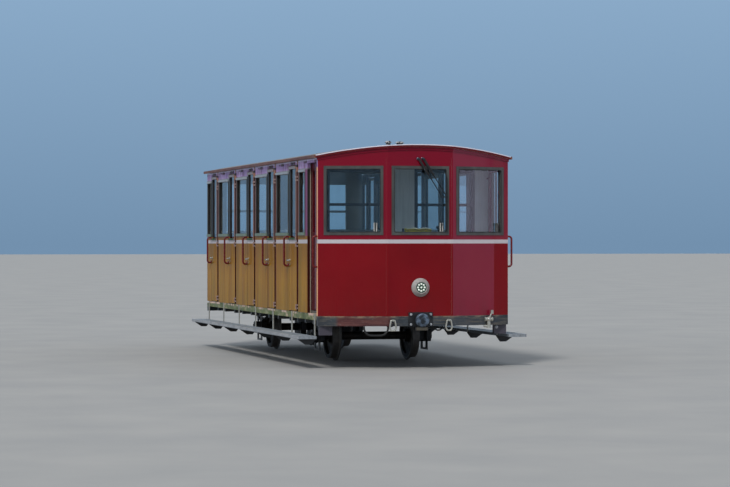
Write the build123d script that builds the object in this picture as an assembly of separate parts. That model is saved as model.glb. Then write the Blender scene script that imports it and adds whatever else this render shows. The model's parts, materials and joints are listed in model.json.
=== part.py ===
"""A two-axle rack railway coach with a faceted observation end, as separate subcomponents.

Millimetres. +X runs forward to the observation end, +Y to the coach's left and +Z up. The origin is
midway between the coupling faces, on the centre line, at the bottom of the wheel flanges. A place
given as s is the distance behind the front ends of the side walls.
"""
from build123d import *
import math
import os

# Wheels and axles: the rail's running surface is one flange above the origin
flange_h = 28
flange_w = 30
tread_d = 580
wheel_back_to_back = 930
tyre_w = 110
rim_t = 52
hub_r = 85
axle_r = 52
journal_r = 40
front_axle_s = 2017
rear_axle_from_end = 1438

# Plan of the body
body_w = 2400
nose = 286              # centre front panel ahead of the side walls' front ends
centre_half = 407       # half width of the centre front panel
fold_from_corner = 224  # lower front fold, along its panel from the side corner
fold_out = 15
side_l = 6930           # side wall, from its front end to the outside of the rear wall
wall = 45
corner_l = 60           # front corner post, along the side
cab_door_end = 535
partition_gap = 32      # from the cab doorway to the partition
partition_t = 26
first_post = 1066
last_bay = 808          # the last bay, from its post to the rear wall's outside
bays = 5

# Heights of the body, each from the one under it
sill_above_rail = 489
sill_h = 119
sill_to_floor = 24
strip_lap = 53          # side sill strip, down over the sill's height
floor_t = 30
floor_to_pane = 988
pane_h = 740
pane_to_fascia = 30
fascia_to_beam = 73
beam_h = 48
roof_t = 35
roof_rise = 129
stripe_under_pane = 117

# Roof edge, gutters and roof vents
roof_overhang = 30
gutter_w = 20
gutter_t = 5
vent_back = 260         # vents behind the centre front panel
vent_rows = ((-185, 62, 40), (-330, 46, 46))  # columns: y, cap radius, height

# Front mouldings
brow_out = 10
brow_h = 34
seam_half = 18
seam_out = 3

# Side doors and their hinge posts
post_w = 80
post_recess = 10
post_head_h = 90
post_head_in = 8
hinge_gap = 8
latch_gap = 10
door_w = 407
door_t = 35
door_clear = 10         # over the floor's underside
door_head_clear = 8
door_stile = 62
door_pane_lap = 65      # door pane lower than the fixed panes
door_head_h = 40
hinge_out = 9           # hinge axis outside the panels' outer face
hinge_leaf_t = 4
hinge_leaf_w = 44
post_leaf_w = 74
lower_hinge_up = 53     # from a door's lower edge
middle_hinge_up = 828
upper_hinge_down = 165  # from its upper edge
knuckle_r = 8
knuckle_l = 60
knuckle_play = 0.5
glass_t = 6
head_bar_h = 34         # bar over a door's pane
head_bar_out = 14
head_bar_in = 10
sill_bar_h = 26         # bar under a door's pane, with a pull in its middle
sill_bar_out = 12
pull_r = 9
pull_out = 7
handle_from_edge = 42
handle_under_pane = 350
handle_out = 45
handle_l = 92
handle_t = 14
handle_r = 9

# Fixed side windows: margins from a panel's ends to its pane
pane_margin_front = 57
pane_margin_rear = 63
cab_pane_margin_front = 143
cab_pane_margin_rear = 75
tail_pane_margin = 45
tail_pane_to_end = 53
frame_w = 26
frame_out = 6
sash_bar_h = 38         # bars over and under a fixed side window
sash_bar_out = 16
sash_bar_gap = 4

# Fascia covers, over the middle of each fixed window and each door
cover_oval_w = 150
cover_oval_h = 30
cover_oval_min_panel = 600
cover_knob_r = 12
cover_knob_from_oval = 150
cover_slot_w = 104
cover_slot_h = 28
cover_slot_pitch = 118
cover_out = 5

# Grab rails
grab_r = 12
grab_under_pane = 53
grab_l = 367
grab_out = 68
grab_bend = 34
door_grab_in = 40       # on the fixed panel, from its front end

# Cab doors, which open inwards
cab_leaf_lap = 10
cab_leaf_t = 32
cab_leaf_play = 5
cab_leaf_gap = 8
cab_hinge_in = 9
cab_hinge_gap = 4
cab_stile = 90
cab_strip_w = 26
cab_strip_out = 4
cab_strip_depth = 12
cab_strip_end = 20
cab_pane_in = 8

# Front windows, set on each front panel
front_frame_w = 719
front_frame_below = 38  # frame lower than the side panes
front_frame_above = 53
front_frame_edge = 40
front_frame_out = 8
front_window_shift = 10  # towards the middle of the front, on the angled panels
gasket_w = 12
latch_w = 34
latch_h = 108
latch_knob_r = 12
latch_knob_out = 22
latch_from_side = 96

# Rear wall and cab partition windows
wall_window_w = 700
wall_window_y = 560
glazing_bar_up = 340    # from the panes' lower edge
glazing_bar_w = 34

# Headlamp
lamp_over_sill = 345
bezel_r = 112
lamp_r = 66
lamp_out = 50
lamp_lip = 8
led_ring_r = 42
led_r = 12
leds = 8
led_t = 4

# Wiper: two parallel arms carry one upright blade
wiper_pivots = (-30, 30)
wiper_pivot_down = 13   # under the roof edge
wiper_reach_y = 294
wiper_link_down = 320   # under the panes' upper edge
wiper_link_w = 14
wiper_out = 38
wiper_arm_r = 6
blade_top_down = 60
blade_bottom_up = 20
blade_w = 12
blade_clear = 3

# Couplers
coupler_reach = 118     # buffing face ahead of the panel it is bolted to
coupler_over_sill = 71
buffer_r = 82
buffer_t = 34
buffer_edge_r = 12
shank_r = 38
plate_w = 300
plate_t = 16
plate_below = 6
plate_above = 47
jaw_drop = 102
jaw_t = 36
jaw_w = 150
jaw_l = 88
jaw_pin_r = 16
jaw_pin_out = 68
bolt_r = 13
bolt_t = 12
bolt_in = 26            # from the plate's edges

# Shackles on eye bolts, corner plates and the air cock
shackle_y = 350
shackle_over_sill = 69
shackle_h = 122
shackle_bar_r = 10
shackle_half = 40       # half width where it is widest
eye_r = 12
eye_out = 46
corner_plate_w = 158
corner_plate_h = 112
corner_plate_t = 60
corner_plate_in = 22    # from the body's side
corner_bolt_r = 16
corner_bolt_t = 8
corner_bolt_in = 30     # from the plate's inner edge
cock_in = 295           # from the body's side
cock_out = 46
cock_r = 22
cock_foot = 34
cock_body_up = 105      # body's top over the foot's end
ball_r = 32
union_r = 27
union_half = 50
union_collar = 16
lever_r = 9
lever_side = 42
lever_up = 88
lever_pad_w = 30
lever_pad_h = 46
branch_l = 62
branch_r = 15

# Hoses, held at both ends
hose_r = 12
small_hose_r = 9
hose_bend = 0.85        # share of a hose's drop or half its span, whichever is less

# Underframe
headstock_t = 80
solebar_y = 710
solebar_w = 60
web_t = 10
member_w = 60
member_gap = 0.3
member_from_axle = 340
members_ahead = 3       # ahead of the front axle's pair, between the pairs, and behind them
members_between = 4
members_behind = 1
outrigger_up = 15
sill_in = 5             # side sill inside the body's side
guard_t = 12
guard_gap = 78          # half the space between an axle's guards
guard_w = 70
guard_above_rail = 130
tie_h = 25

# Axle boxes and springs
box_half_l = 70
box_half_h = 80
box_in_y = 632
box_out_y = 790
box_chamfer = 18
box_lid_t = 14
box_lid_r = 58
guide_in = 20
guide_half_h = 60
guide_play = 1
journal_end = 770
journal_play = 0.5
leaf_t = 9
leaf_w = 60
leaf_rows = (330, 260, 190, 120)  # half lengths, from the top leaf down
spring_rise = 34
spring_seat_h = 12
spring_from_solebar = 2
buckle_half_l = 30
buckle_side = 8
buckle_over = 10
hanger_link_w = 20

# Brake pinion: two toothed discs side by side, half a pitch apart, as the rack's bars are
rack_pitch = 120
pinion_teeth = 13
addendum = 25
dedendum = 30
tooth_corners = ((-0.30, -1), (-0.14, 1), (0.14, 1), (0.30, -1))  # share of a pitch, root or tip
disc_t = 28
disc_gap = 14
pinion_y = 60
pinion_hub_r = 95
pinion_hub_side = 20
pinion_hole_r = 30
pinion_hole_at = 155
pinion_holes = 6

# Brake drum, shoes and their hangers
drum_r = 165
drum_w = 90
drum_y = -120
drum_grooves = 4
groove_w = 10
groove_h = 9
shoe_t = 32
shoe_clear = 10
shoe_half_angle = 34
shoe_w = 84
shoe_lap = 4            # hanger let into the shoe's back
shoe_hanger_t = 16
shoe_hanger_w = 50
shoe_hanger_foot = 40
shoe_hanger_up = 60

# Running boards and hangers
board_gap = 15          # from the body's side
board_w = 225
board_under_sill = 121
board_t = 35
board_tail = 40
first_hanger = 150
second_hanger = 1370
last_hanger_from_end = 150
hangers_after_first = 6
hanger_shift = {"right": 0, "left": 290}  # of a row's first two
hanger_w = 40
hanger_t = 10
hanger_to_edge = 30     # hanger's foot and gusset short of the board's outer edge
gusset_h = 62
gusset_t = 12
gusset_slope = 90

# Air tank, slung under two of the cross members between the axles
tank_r = 120
tank_band_t = 6
tank_band_w = 40
tank_members = (1, 2)
tank_overhang = 70
tank_end_r = 40
tank_pad_half = 60

# Benches: heights above the floor
seat_top = 440
seat_d = 410
seat_t = 70
seat_front_t = 22
seat_round = 15
back_board_t = 24
back_board_h = 1000
back_cushion_t = 60
back_cushion_clear = 40
bench_side_play = 3

# Cab desk and handbrake
desk_top = 930          # above the floor
desk_t = 30
desk_half = 560
desk_rear_s = 60
desk_leg_in = 90
desk_leg_t = 40
desk_leg_half = 300
console_half = 170
console_d = 110
console_h = 70
rest_half = 150
rest_h = 40
rest_d = 40
console_in = 20         # from the front wall to the rest
brake_s = 200
brake_y = -330
brake_under_desk = 40
brake_column_r = 22
brake_wheel_r = 140
brake_rim_r = 11
brake_spokes = 3
brake_spoke_w = 16
brake_spoke_t = 12

# Worked out from the dimensions above: along and across the coach
half_w = body_w / 2
inner_half = half_w - wall
nose_angle = math.atan2(nose, half_w - centre_half)
length = side_l + nose + 2 * coupler_reach
front_x = length / 2 - coupler_reach - nose
nose_x = front_x + nose
rear_x = front_x - side_l
roof_half = half_w + roof_overhang
bay = (side_l - first_post - last_bay) / (bays - 1)
partition_s = cab_door_end + partition_gap
first_door_middle = first_post + post_w / 2 + hinge_gap + door_w / 2
rear_axle_s = side_l - rear_axle_from_end
cab_leaf_out = inner_half - cab_leaf_play
cab_leaf_in = cab_leaf_out - cab_leaf_t
cab_leaf_rear_s = cab_door_end + cab_leaf_lap
cab_hinge_s = cab_leaf_rear_s + cab_hinge_gap
cab_hinge_y = cab_leaf_in - cab_hinge_in
board_in = half_w + board_gap
board_out = board_in + board_w
sides = {"right": -1, "left": 1}

# Worked out: heights
rail = flange_h
axle_z = rail + tread_d / 2
sill_bottom = rail + sill_above_rail
sill_top = sill_bottom + sill_h
strip_bottom = sill_top - strip_lap
floor_bottom = sill_top + sill_to_floor
floor_top = floor_bottom + floor_t
pane_bottom = floor_bottom + floor_to_pane
pane_top = pane_bottom + pane_h
fascia_bottom = pane_top + pane_to_fascia
beam_bottom = fascia_bottom + fascia_to_beam
roof_edge_bottom = beam_bottom + beam_h
crown_bottom = roof_edge_bottom + roof_rise
stripe_z = pane_bottom - stripe_under_pane
door_bottom = floor_bottom + door_clear
door_top = beam_bottom - door_head_clear
door_pane_bottom = pane_bottom - door_pane_lap
door_pane_top = door_top - door_head_h
hinge_heights = (door_bottom + lower_hinge_up, door_bottom + middle_hinge_up, door_top - upper_hinge_down)
hinge_third = knuckle_l / 6
handle_z = pane_bottom - handle_under_pane
grab_top = pane_bottom - grab_under_pane
grab_bottom = grab_top - grab_l
front_frame_bottom = pane_bottom - front_frame_below
front_frame_top = pane_top + front_frame_above
glazing_bar_z = pane_bottom + glazing_bar_up
wall_pane_rows = (
    (pane_bottom, glazing_bar_z - glazing_bar_w / 2), (glazing_bar_z + glazing_bar_w / 2, pane_top)
)
lamp_z = sill_top + lamp_over_sill
coupler_z = sill_bottom + coupler_over_sill
shackle_z = sill_bottom + shackle_over_sill
plate_bottom = sill_bottom - plate_below
plate_top = sill_top + plate_above
board_top = sill_bottom - board_under_sill
pinion_pitch_r = rack_pitch * pinion_teeth / (2 * math.pi)

# Front panels: columns are side, centre x, centre y, and turn about Z in degrees
front_panels = {
    -1: ((front_x + nose_x) / 2, -(half_w + centre_half) / 2, -math.degrees(nose_angle)),
    0: (nose_x, 0, 0),
    1: ((front_x + nose_x) / 2, (half_w + centre_half) / 2, math.degrees(nose_angle)),
}

# Hoses: columns are X, low y, high y, drop and radius
hose_rows = (
    (nose_x - headstock_t / 2, -690, -390, 112, hose_r),
    (nose_x - headstock_t / 2, 190, 285, 52, small_hose_r),
    (rear_x + headstock_t / 2, -300, -120, 90, hose_r),
)


def spread(start, end, count):
    """Places evenly spaced between two places, neither of which is one of them."""
    step = (end - start) / (count + 1)
    return [start + step * (number + 1) for number in range(count)]


# Cross members, as places s
axle_members = [
    axle_s + side * member_from_axle for axle_s in (front_axle_s, rear_axle_s) for side in (-1, 1)
]
middle_members = spread(axle_members[1], axle_members[2], members_between)
member_places = sorted(
    spread(0, axle_members[0], members_ahead) + axle_members + middle_members
    + spread(axle_members[3], side_l - headstock_t, members_behind)
)


def hanger_places(shift):
    """A running board's hangers along one side, its first two moved back by a shift."""
    second, last = second_hanger + shift, side_l - last_hanger_from_end
    return [first_hanger + shift, second, *spread(second, last, hangers_after_first - 2), last]


def box(x0, x1, y0, y1, z0, z1):
    """A box between two corners, given in any order."""
    centre = Pos((x0 + x1) / 2, (y0 + y1) / 2, (z0 + z1) / 2)
    return centre * Box(abs(x1 - x0), abs(y1 - y0), abs(z1 - z0))


def behind(s):
    """The X of a place s behind the front ends of the side walls."""
    return front_x - s


def rod(start, end, radius):
    """A round bar between two points."""
    along = Vector(*end) - Vector(*start)
    plane = Plane(origin=start, z_dir=along)
    return extrude(plane * Circle(radius), amount=along.length)


def upright(x, y, z0, z1, radius):
    """A round bar standing between two heights."""
    return Pos(x, y, (z0 + z1) / 2) * Cylinder(radius, z1 - z0)


def fuse(pieces):
    """One shape from pieces that touch or overlap."""
    return pieces[0].fuse(*pieces[1:]).clean()


def bent_bar(points, bends, radius):
    """A round bar or hose along straight runs joined by arcs."""
    path = FilletPolyline(*points, radius=bends)
    first = Vector(*points[1]) - Vector(*points[0])
    return sweep(Plane(origin=points[0], z_dir=first) * Circle(radius), path=path)


def save(node, shape):
    """Writes a node, whose solids may be apart from each other."""
    shapes = shape if isinstance(shape, list) else [shape]
    solids = [solid for one in shapes for solid in one.solids()]
    export_step(Compound(label=node, children=solids), f"parts/{node}.step")


def plan_points(inset, back_x, folded=False):
    """The body's outline in plan, moved in by inset, from back_x round the observation end."""
    corner_x = front_x - inset * (1 - math.sin(nose_angle)) / math.cos(nose_angle)
    crease_y = centre_half - inset * math.tan(nose_angle / 2)
    side_y = half_w - inset
    left = [(back_x, side_y), (corner_x, side_y)]
    if folded:
        along, out = fold_from_corner, fold_out - inset
        fold_x = front_x + along * math.sin(nose_angle) + out * math.cos(nose_angle)
        fold_y = half_w - along * math.cos(nose_angle) + out * math.sin(nose_angle)
        left.append((fold_x, fold_y))
    left.append((nose_x - inset, crease_y))
    return left + [(x, -y) for x, y in reversed(left)]


def plan_prism(inset, back_x, z0, z1, folded=False):
    """The body's plan, from one height to another."""
    outline = Polyline(*plan_points(inset, back_x, folded), close=True)
    return extrude(Pos(0, 0, z0) * make_face(outline), amount=z1 - z0)


def roof_section(top_edge, base_edge, base_is_flat=False):
    """A section across the body under an arc, and over the same arc lower down or a flat base."""
    def arc(edge_z):
        return ThreePointArc((-roof_half, edge_z), (0, edge_z + roof_rise), (roof_half, edge_z))

    ends = [Line((y, base_edge), (y, top_edge)) for y in (-roof_half, roof_half)]
    base = Line((-roof_half, base_edge), (roof_half, base_edge)) if base_is_flat else arc(base_edge)
    return make_face([arc(top_edge), *ends, base])


def along_body(section, x0, x1):
    """A section across the body, made as long as from x0 to x1."""
    return Pos(x0, 0, 0) * extrude(Plane.YZ * section, amount=x1 - x0)


def under_roof(shape):
    """Cuts a wall's top to the roof's underside."""
    return shape & along_body(roof_section(roof_edge_bottom, 0, base_is_flat=True), rear_x, nose_x + wall)


def on_each_front_panel(make):
    """A shape per front window, made about X = 0 from the frame's low and high y on its panel."""
    made = []
    for side, (x, y, turn) in front_panels.items():
        middle = -side * front_window_shift
        shape = make(middle - front_frame_w / 2, middle + front_frame_w / 2)
        made.append(Pos(x, y, 0) * Rot(0, 0, turn) * shape)
    return made


def ring(x0, x1, y0, y1, z0, z1, edge):
    """A rectangular frame that faces along X."""
    hole = box(x0 - wall, x1 + wall, y0 + edge, y1 - edge, z0 + edge, z1 - edge)
    return box(x0, x1, y0, y1, z0, z1) - hole


def front_end():
    """The three front panels and the corner posts, with window openings, seams and brow."""
    back_x = behind(corner_l)
    upper = plan_prism(0, back_x, stripe_z, crown_bottom)
    lower = plan_prism(0, back_x, sill_top, stripe_z, folded=True)
    brow_bottom = roof_edge_bottom - brow_h
    brow_arc = along_body(roof_section(roof_edge_bottom, brow_bottom), front_x, nose_x + brow_out)
    brow = plan_prism(-brow_out, front_x, brow_bottom, crown_bottom) & brow_arc
    seam_band = plan_prism(-seam_out, front_x, sill_top + seam_half, roof_edge_bottom)
    seams = [
        seam_band & box(front_x, nose_x + wall, y - seam_half, y + seam_half, 0, crown_bottom)
        for y in (-centre_half, centre_half)
    ]
    hollow = plan_prism(wall, back_x - 1, sill_top - 1, crown_bottom + 1)
    shell = under_roof(fuse([upper, lower, brow, *seams]) - hollow)
    edge = front_frame_edge - gasket_w

    def opening(y0, y1):
        return box(
            -2 * wall, wall, y0 + edge, y1 - edge, front_frame_bottom + edge, front_frame_top - edge
        )

    for cut in on_each_front_panel(opening):
        shell -= cut
    return shell


def front_window_frames():
    """Flat frames on the front panels, with gaskets in the openings and a latch on each."""
    edge, gasket = front_frame_edge, front_frame_edge - gasket_w

    def frame(y0, y1):
        face = ring(0, front_frame_out, y0, y1, front_frame_bottom, front_frame_top, edge)
        z0, z1 = front_frame_bottom + gasket, front_frame_top - gasket
        lining = ring(-wall / 2, 0, y0 + gasket, y1 - gasket, z0, z1, gasket_w)
        latch_y = y1 - latch_from_side
        latch_z = front_frame_bottom + edge
        latch = box(
            -wall / 2, front_frame_out / 2, latch_y - latch_w / 2, latch_y + latch_w / 2,
            latch_z - 1, latch_z + latch_h,
        )
        knob_z = latch_z + latch_h - latch_knob_r
        knob = rod((0, latch_y, knob_z), (latch_knob_out, latch_y, knob_z), latch_knob_r)
        return fuse([face, lining, latch, knob])

    return on_each_front_panel(frame)


def front_panes():
    edge = front_frame_edge - gasket_w
    inner = -wall / 2

    def pane(y0, y1):
        z0, z1 = front_frame_bottom + edge, front_frame_top - edge
        return box(inner - glass_t, inner, y0 + edge, y1 - edge, z0, z1)

    return on_each_front_panel(pane)


def wall_windows(x0, x1):
    """The openings of a cross wall's two windows, above and below their glazing bars."""
    half = wall_window_w / 2
    return [
        box(x0, x1, y - half, y + half, low, high)
        for y in (-wall_window_y, wall_window_y) for low, high in wall_pane_rows
    ]


def wall_panes(middle_x):
    return wall_windows(middle_x - glass_t / 2, middle_x + glass_t / 2)


def rear_end():
    """The flat rear wall between the side walls."""
    wall_x = rear_x + wall
    shell = under_roof(box(rear_x, wall_x, -inner_half, inner_half, sill_top, crown_bottom))
    for hole in wall_windows(rear_x - 1, wall_x + 1):
        shell -= hole
    return shell


def fixed_panels():
    """Start and end of each fixed side panel and of its pane, as places s."""
    start, end = cab_door_end, first_post - post_w / 2
    rows = [(start, end, start + cab_pane_margin_front, end - cab_pane_margin_rear)]
    for number in range(bays):
        start = first_post + number * bay + post_w / 2 + hinge_gap + door_w + latch_gap
        end = first_post + (number + 1) * bay - post_w / 2
        if number < bays - 1:
            rows.append((start, end, start + pane_margin_front, end - pane_margin_rear))
        else:
            rows.append((start, side_l, start + tail_pane_margin, side_l - tail_pane_to_end))
    return rows


def side_panels(side):
    pieces = []
    y0, y1 = side * inner_half, side * half_w
    for start, end, pane_start, pane_end in fixed_panels():
        panel = box(behind(end), behind(start), y0, y1, floor_bottom, fascia_bottom)
        hole = box(behind(pane_end), behind(pane_start), y0 - side, y1 + side, pane_bottom, pane_top)
        pieces.append(panel - hole)
    return pieces


def side_window_frames():
    """Thin frames round the fixed side windows, with a deeper bar above and below."""
    pieces = []
    for side in (-1, 1):
        face = side * half_w
        for start, end, pane_start, pane_end in fixed_panels():
            x0, x1 = behind(pane_end + frame_w), behind(pane_start - frame_w)
            frame = box(x0, x1, face, face + side * frame_out, pane_bottom - frame_w, pane_top + frame_w)
            bar_out = face + side * sash_bar_out
            bars = [
                box(x0, x1, face, bar_out, pane_bottom - sash_bar_h, pane_bottom - sash_bar_gap),
                box(x0, x1, face, bar_out, pane_top + sash_bar_gap, fascia_bottom),
            ]
            hole = box(
                behind(pane_end), behind(pane_start), face - side, face + side * 2 * frame_out,
                pane_bottom, pane_top,
            )
            pieces.append(fuse([frame, *bars]) - hole)
    return pieces


def side_panes():
    pieces = []
    for side in (-1, 1):
        middle = side * (half_w - wall / 2)
        for start, end, pane_start, pane_end in fixed_panels():
            pieces.append(box(
                behind(pane_end), behind(pane_start), middle - glass_t / 2, middle + glass_t / 2,
                pane_bottom, pane_top,
            ))
    return pieces


def hinge_place(number, side):
    """The hinge axis of a side door, in X and Y."""
    s = first_post + number * bay + post_w / 2 + hinge_gap / 2
    return behind(s), side * (half_w + hinge_out)


def post_knuckles():
    """Heights of the two knuckles that a post gives each hinge."""
    rows = []
    for z in hinge_heights:
        rows.append((z - 3 * hinge_third, z - hinge_third))
        rows.append((z + hinge_third, z + 3 * hinge_third))
    return rows


def side_posts():
    """Hinge posts, set back from the panels so that they read as dark gaps."""
    pieces = []
    for side in (-1, 1):
        back, face = side * inner_half, side * (half_w - post_recess)
        for number in range(bays):
            s = first_post + number * bay
            x0, x1 = behind(s + post_w / 2), behind(s - post_w / 2)
            hinge_x, hinge_y = hinge_place(number, side)
            parts = [box(x0, x1, back, face, floor_bottom, beam_bottom)]
            parts.append(box(
                x0 + post_head_in, x1 - post_head_in, face, face + side * 2 * post_recess,
                beam_bottom - post_head_h, beam_bottom,
            ))
            for low, high in post_knuckles():
                parts.append(upright(hinge_x, hinge_y, low, high, knuckle_r))
                parts.append(box(hinge_x, x0 + post_leaf_w, face, side * (half_w + hinge_leaf_t), low, high))
            pieces.append(fuse(parts))
    return pieces


def fascia_covers(side):
    """Small covers on the fascia: an oval and a knob over each window, two slots over each door."""
    face = side * half_w
    out = face + side * cover_out
    z = (beam_bottom + roof_edge_bottom) / 2 - 4
    parts = []
    for start, end, pane_start, pane_end in fixed_panels():
        x = behind((pane_start + pane_end) / 2)
        if end - start > cover_oval_min_panel:
            outline = Plane.XZ * Ellipse(cover_oval_w / 2, cover_oval_h / 2)
            oval = extrude(outline, amount=cover_out / 2, both=True)
            parts.append(Pos(x, (face + out) / 2, z) * oval)
            knob_x = x - cover_knob_from_oval
            parts.append(rod((knob_x, face, z), (knob_x, out, z), cover_knob_r))
    for number in range(bays):
        x = behind(first_door_middle + number * bay)
        for shift in (-cover_slot_pitch / 2, cover_slot_pitch / 2):
            half = cover_slot_w / 2
            parts.append(box(
                x + shift - half, x + shift + half, face, out, z - cover_slot_h / 2, z + cover_slot_h / 2
            ))
    return parts


def cant_rails():
    """Beams over the doors, deeper over the fixed panels, with the fascia's small covers."""
    pieces = []
    for side in (-1, 1):
        y0, y1 = side * inner_half, side * half_w
        parts = [box(rear_x, behind(corner_l), y0, y1, beam_bottom, roof_edge_bottom)]
        for start, end, pane_start, pane_end in fixed_panels():
            parts.append(box(behind(end), behind(start), y0, y1, fascia_bottom, beam_bottom))
        pieces.append(fuse(parts + fascia_covers(side)))
    return pieces


def roof():
    """A shallow arched roof that follows the faceted end."""
    section = roof_section(roof_edge_bottom + roof_t, roof_edge_bottom)
    start, end = rear_x - roof_overhang, nose_x + roof_overhang
    plan = plan_prism(-roof_overhang, start, roof_edge_bottom - 1, crown_bottom + roof_t + 1)
    return along_body(section, start, end) & plan


def roof_trim():
    """Gutters along both edges and two low vents near the front."""
    pieces = []
    corner_x = front_x + roof_overhang * (1 - math.sin(nose_angle)) / math.cos(nose_angle)
    start = rear_x - roof_overhang
    for side in (-1, 1):
        out = roof_half + gutter_w
        gutter = box(
            start, corner_x, side * roof_half, side * out, roof_edge_bottom, roof_edge_bottom + roof_t
        )
        trough = box(
            start + gutter_t, corner_x - gutter_t, side * (roof_half + gutter_t), side * (out - gutter_t),
            roof_edge_bottom + 2 * gutter_t, roof_edge_bottom + 2 * roof_t,
        )
        pieces.append(gutter - trough)
    slab = roof()
    for y, radius, height in vent_rows:
        top = crown_bottom + roof_t + height
        neck = upright(nose_x - vent_back, y, top - height - roof_t, top - height / 2, radius * 0.62)
        cap = Pos(nose_x - vent_back, y, top - height / 4) * Cone(radius, radius * 0.55, height / 2)
        pieces.append(fuse([neck, cap]) - slab)
    return pieces


def floor():
    return plan_prism(wall, rear_x + wall, floor_bottom, floor_top)


def headstocks():
    """The folded front headstock and the straight rear one."""
    outer = plan_prism(0, behind(corner_l), sill_bottom, sill_top, folded=True)
    inner = plan_prism(headstock_t, behind(corner_l) - 1, sill_bottom - 1, sill_top + 1)
    rear = box(rear_x, rear_x + headstock_t, -half_w, half_w, sill_bottom, sill_top)
    return [outer - inner, rear]


def solebar(side):
    """A channel with its web outwards, as long as the space between the headstocks."""
    rear = rear_x + headstock_t
    y0, y1 = side * solebar_y, side * (solebar_y - solebar_w)
    whole = box(rear, nose_x, y0, y1, sill_bottom, sill_top)
    trough = box(
        rear - 1, nose_x + 1, y0 - side * web_t, y1 - side, sill_bottom + web_t, sill_top - web_t
    )
    return (whole - trough) & plan_prism(headstock_t, rear, 0, sill_top + 1)


def underframe():
    """Solebars, side sills, and cross members between and outside the solebars."""
    rear = rear_x + headstock_t
    pieces = [solebar(side) for side in (-1, 1)]
    pieces += [
        box(rear, behind(corner_l), side * inner_half, side * (half_w - sill_in), strip_bottom, floor_bottom)
        for side in (-1, 1)
    ]
    inside = solebar_y - solebar_w - member_gap
    for s in member_places:
        x0, x1 = behind(s + member_w / 2), behind(s - member_w / 2)
        pieces.append(box(x0, x1, -inside, inside, sill_bottom, floor_bottom))
        for side in (-1, 1):
            pieces.append(box(
                x0, x1, side * (solebar_y + member_gap), side * (inner_half - member_gap),
                sill_bottom + outrigger_up, floor_bottom,
            ))
    return pieces


def axle_guards():
    """A pair of guard plates with their tie bar, under each solebar at each axle."""
    pieces = []
    guard_foot = rail + guard_above_rail
    for side in (-1, 1):
        y0, y1 = side * (solebar_y + guard_t), side * solebar_y
        for axle_s in (front_axle_s, rear_axle_s):
            x = behind(axle_s)
            parts = []
            for end in (-1, 1):
                near, far = x + end * guard_gap, x + end * (guard_gap + guard_w)
                parts.append(box(near, far, y0, y1, guard_foot, sill_top - web_t))
            reach = guard_gap + guard_w
            parts.append(box(x - reach, x + reach, y0, y1, guard_foot - tie_h, guard_foot))
            pieces.append(fuse(parts))
    return pieces


def axle_boxes():
    """Cast boxes on the journals, with guides between the guard plates and a round front lid."""
    pieces = []
    guide_y = solebar_y + guard_t / 2
    for side in (-1, 1):
        for axle_s in (front_axle_s, rear_axle_s):
            x = behind(axle_s)
            body = box(
                x - box_half_l, x + box_half_l, side * box_in_y, side * box_out_y,
                axle_z - box_half_h, axle_z + box_half_h,
            )
            body = chamfer(body.edges().filter_by(Axis.Y), box_chamfer)
            lid = rod((x, side * box_out_y, axle_z), (x, side * (box_out_y + box_lid_t), axle_z), box_lid_r)
            guide_half_l = guard_gap - guide_play
            guides = box(
                x - guide_half_l, x + guide_half_l, side * (guide_y - guide_in), side * (guide_y + guide_in),
                axle_z - guide_half_h, axle_z + guide_half_h,
            )
            bore = rod(
                (x, side * (box_in_y - 1), axle_z), (x, side * (journal_end + 1), axle_z),
                journal_r + journal_play,
            )
            pieces.append(fuse([body, lid, guides]) - bore)
    return pieces


def spring_leaf(half, low_z):
    """A strip bent to a shallow arc, lowest in its middle, seen from the side."""
    sag = spring_rise * (half / leaf_rows[0]) ** 2
    lower = ThreePointArc((-half, low_z + sag), (0, low_z), (half, low_z + sag))
    upper = ThreePointArc((-half, low_z + sag + leaf_t), (0, low_z + leaf_t), (half, low_z + sag + leaf_t))
    ends = [Line((x, low_z + sag), (x, low_z + sag + leaf_t)) for x in (-half, half)]
    return extrude(Plane.XZ * make_face([lower, upper, *ends]), amount=leaf_w / 2, both=True)


def leaf_springs():
    """Leaf springs standing on the axle boxes and hung from the solebars."""
    pieces = []
    low = axle_z + box_half_h
    first_leaf = low + spring_seat_h
    stack_top = first_leaf + len(leaf_rows) * leaf_t
    tip_z = stack_top + spring_rise
    buckle_half = leaf_w / 2 + buckle_side
    parts = []
    for number, half in enumerate(reversed(leaf_rows)):
        parts.append(spring_leaf(half, first_leaf + number * leaf_t))
    parts.append(box(-buckle_half_l, buckle_half_l, -buckle_half, buckle_half, low, stack_top + buckle_over))
    for end in (-1, 1):
        far, near = end * leaf_rows[0], end * (leaf_rows[0] - hanger_link_w)
        parts.append(box(near, far, -leaf_w / 2, leaf_w / 2, tip_z - leaf_t, sill_bottom))
    spring = fuse(parts)
    for side in (-1, 1):
        for axle_s in (front_axle_s, rear_axle_s):
            y = side * (solebar_y - buckle_half - spring_from_solebar)
            pieces.append(Pos(behind(axle_s), y, 0) * spring)
    return pieces


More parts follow.
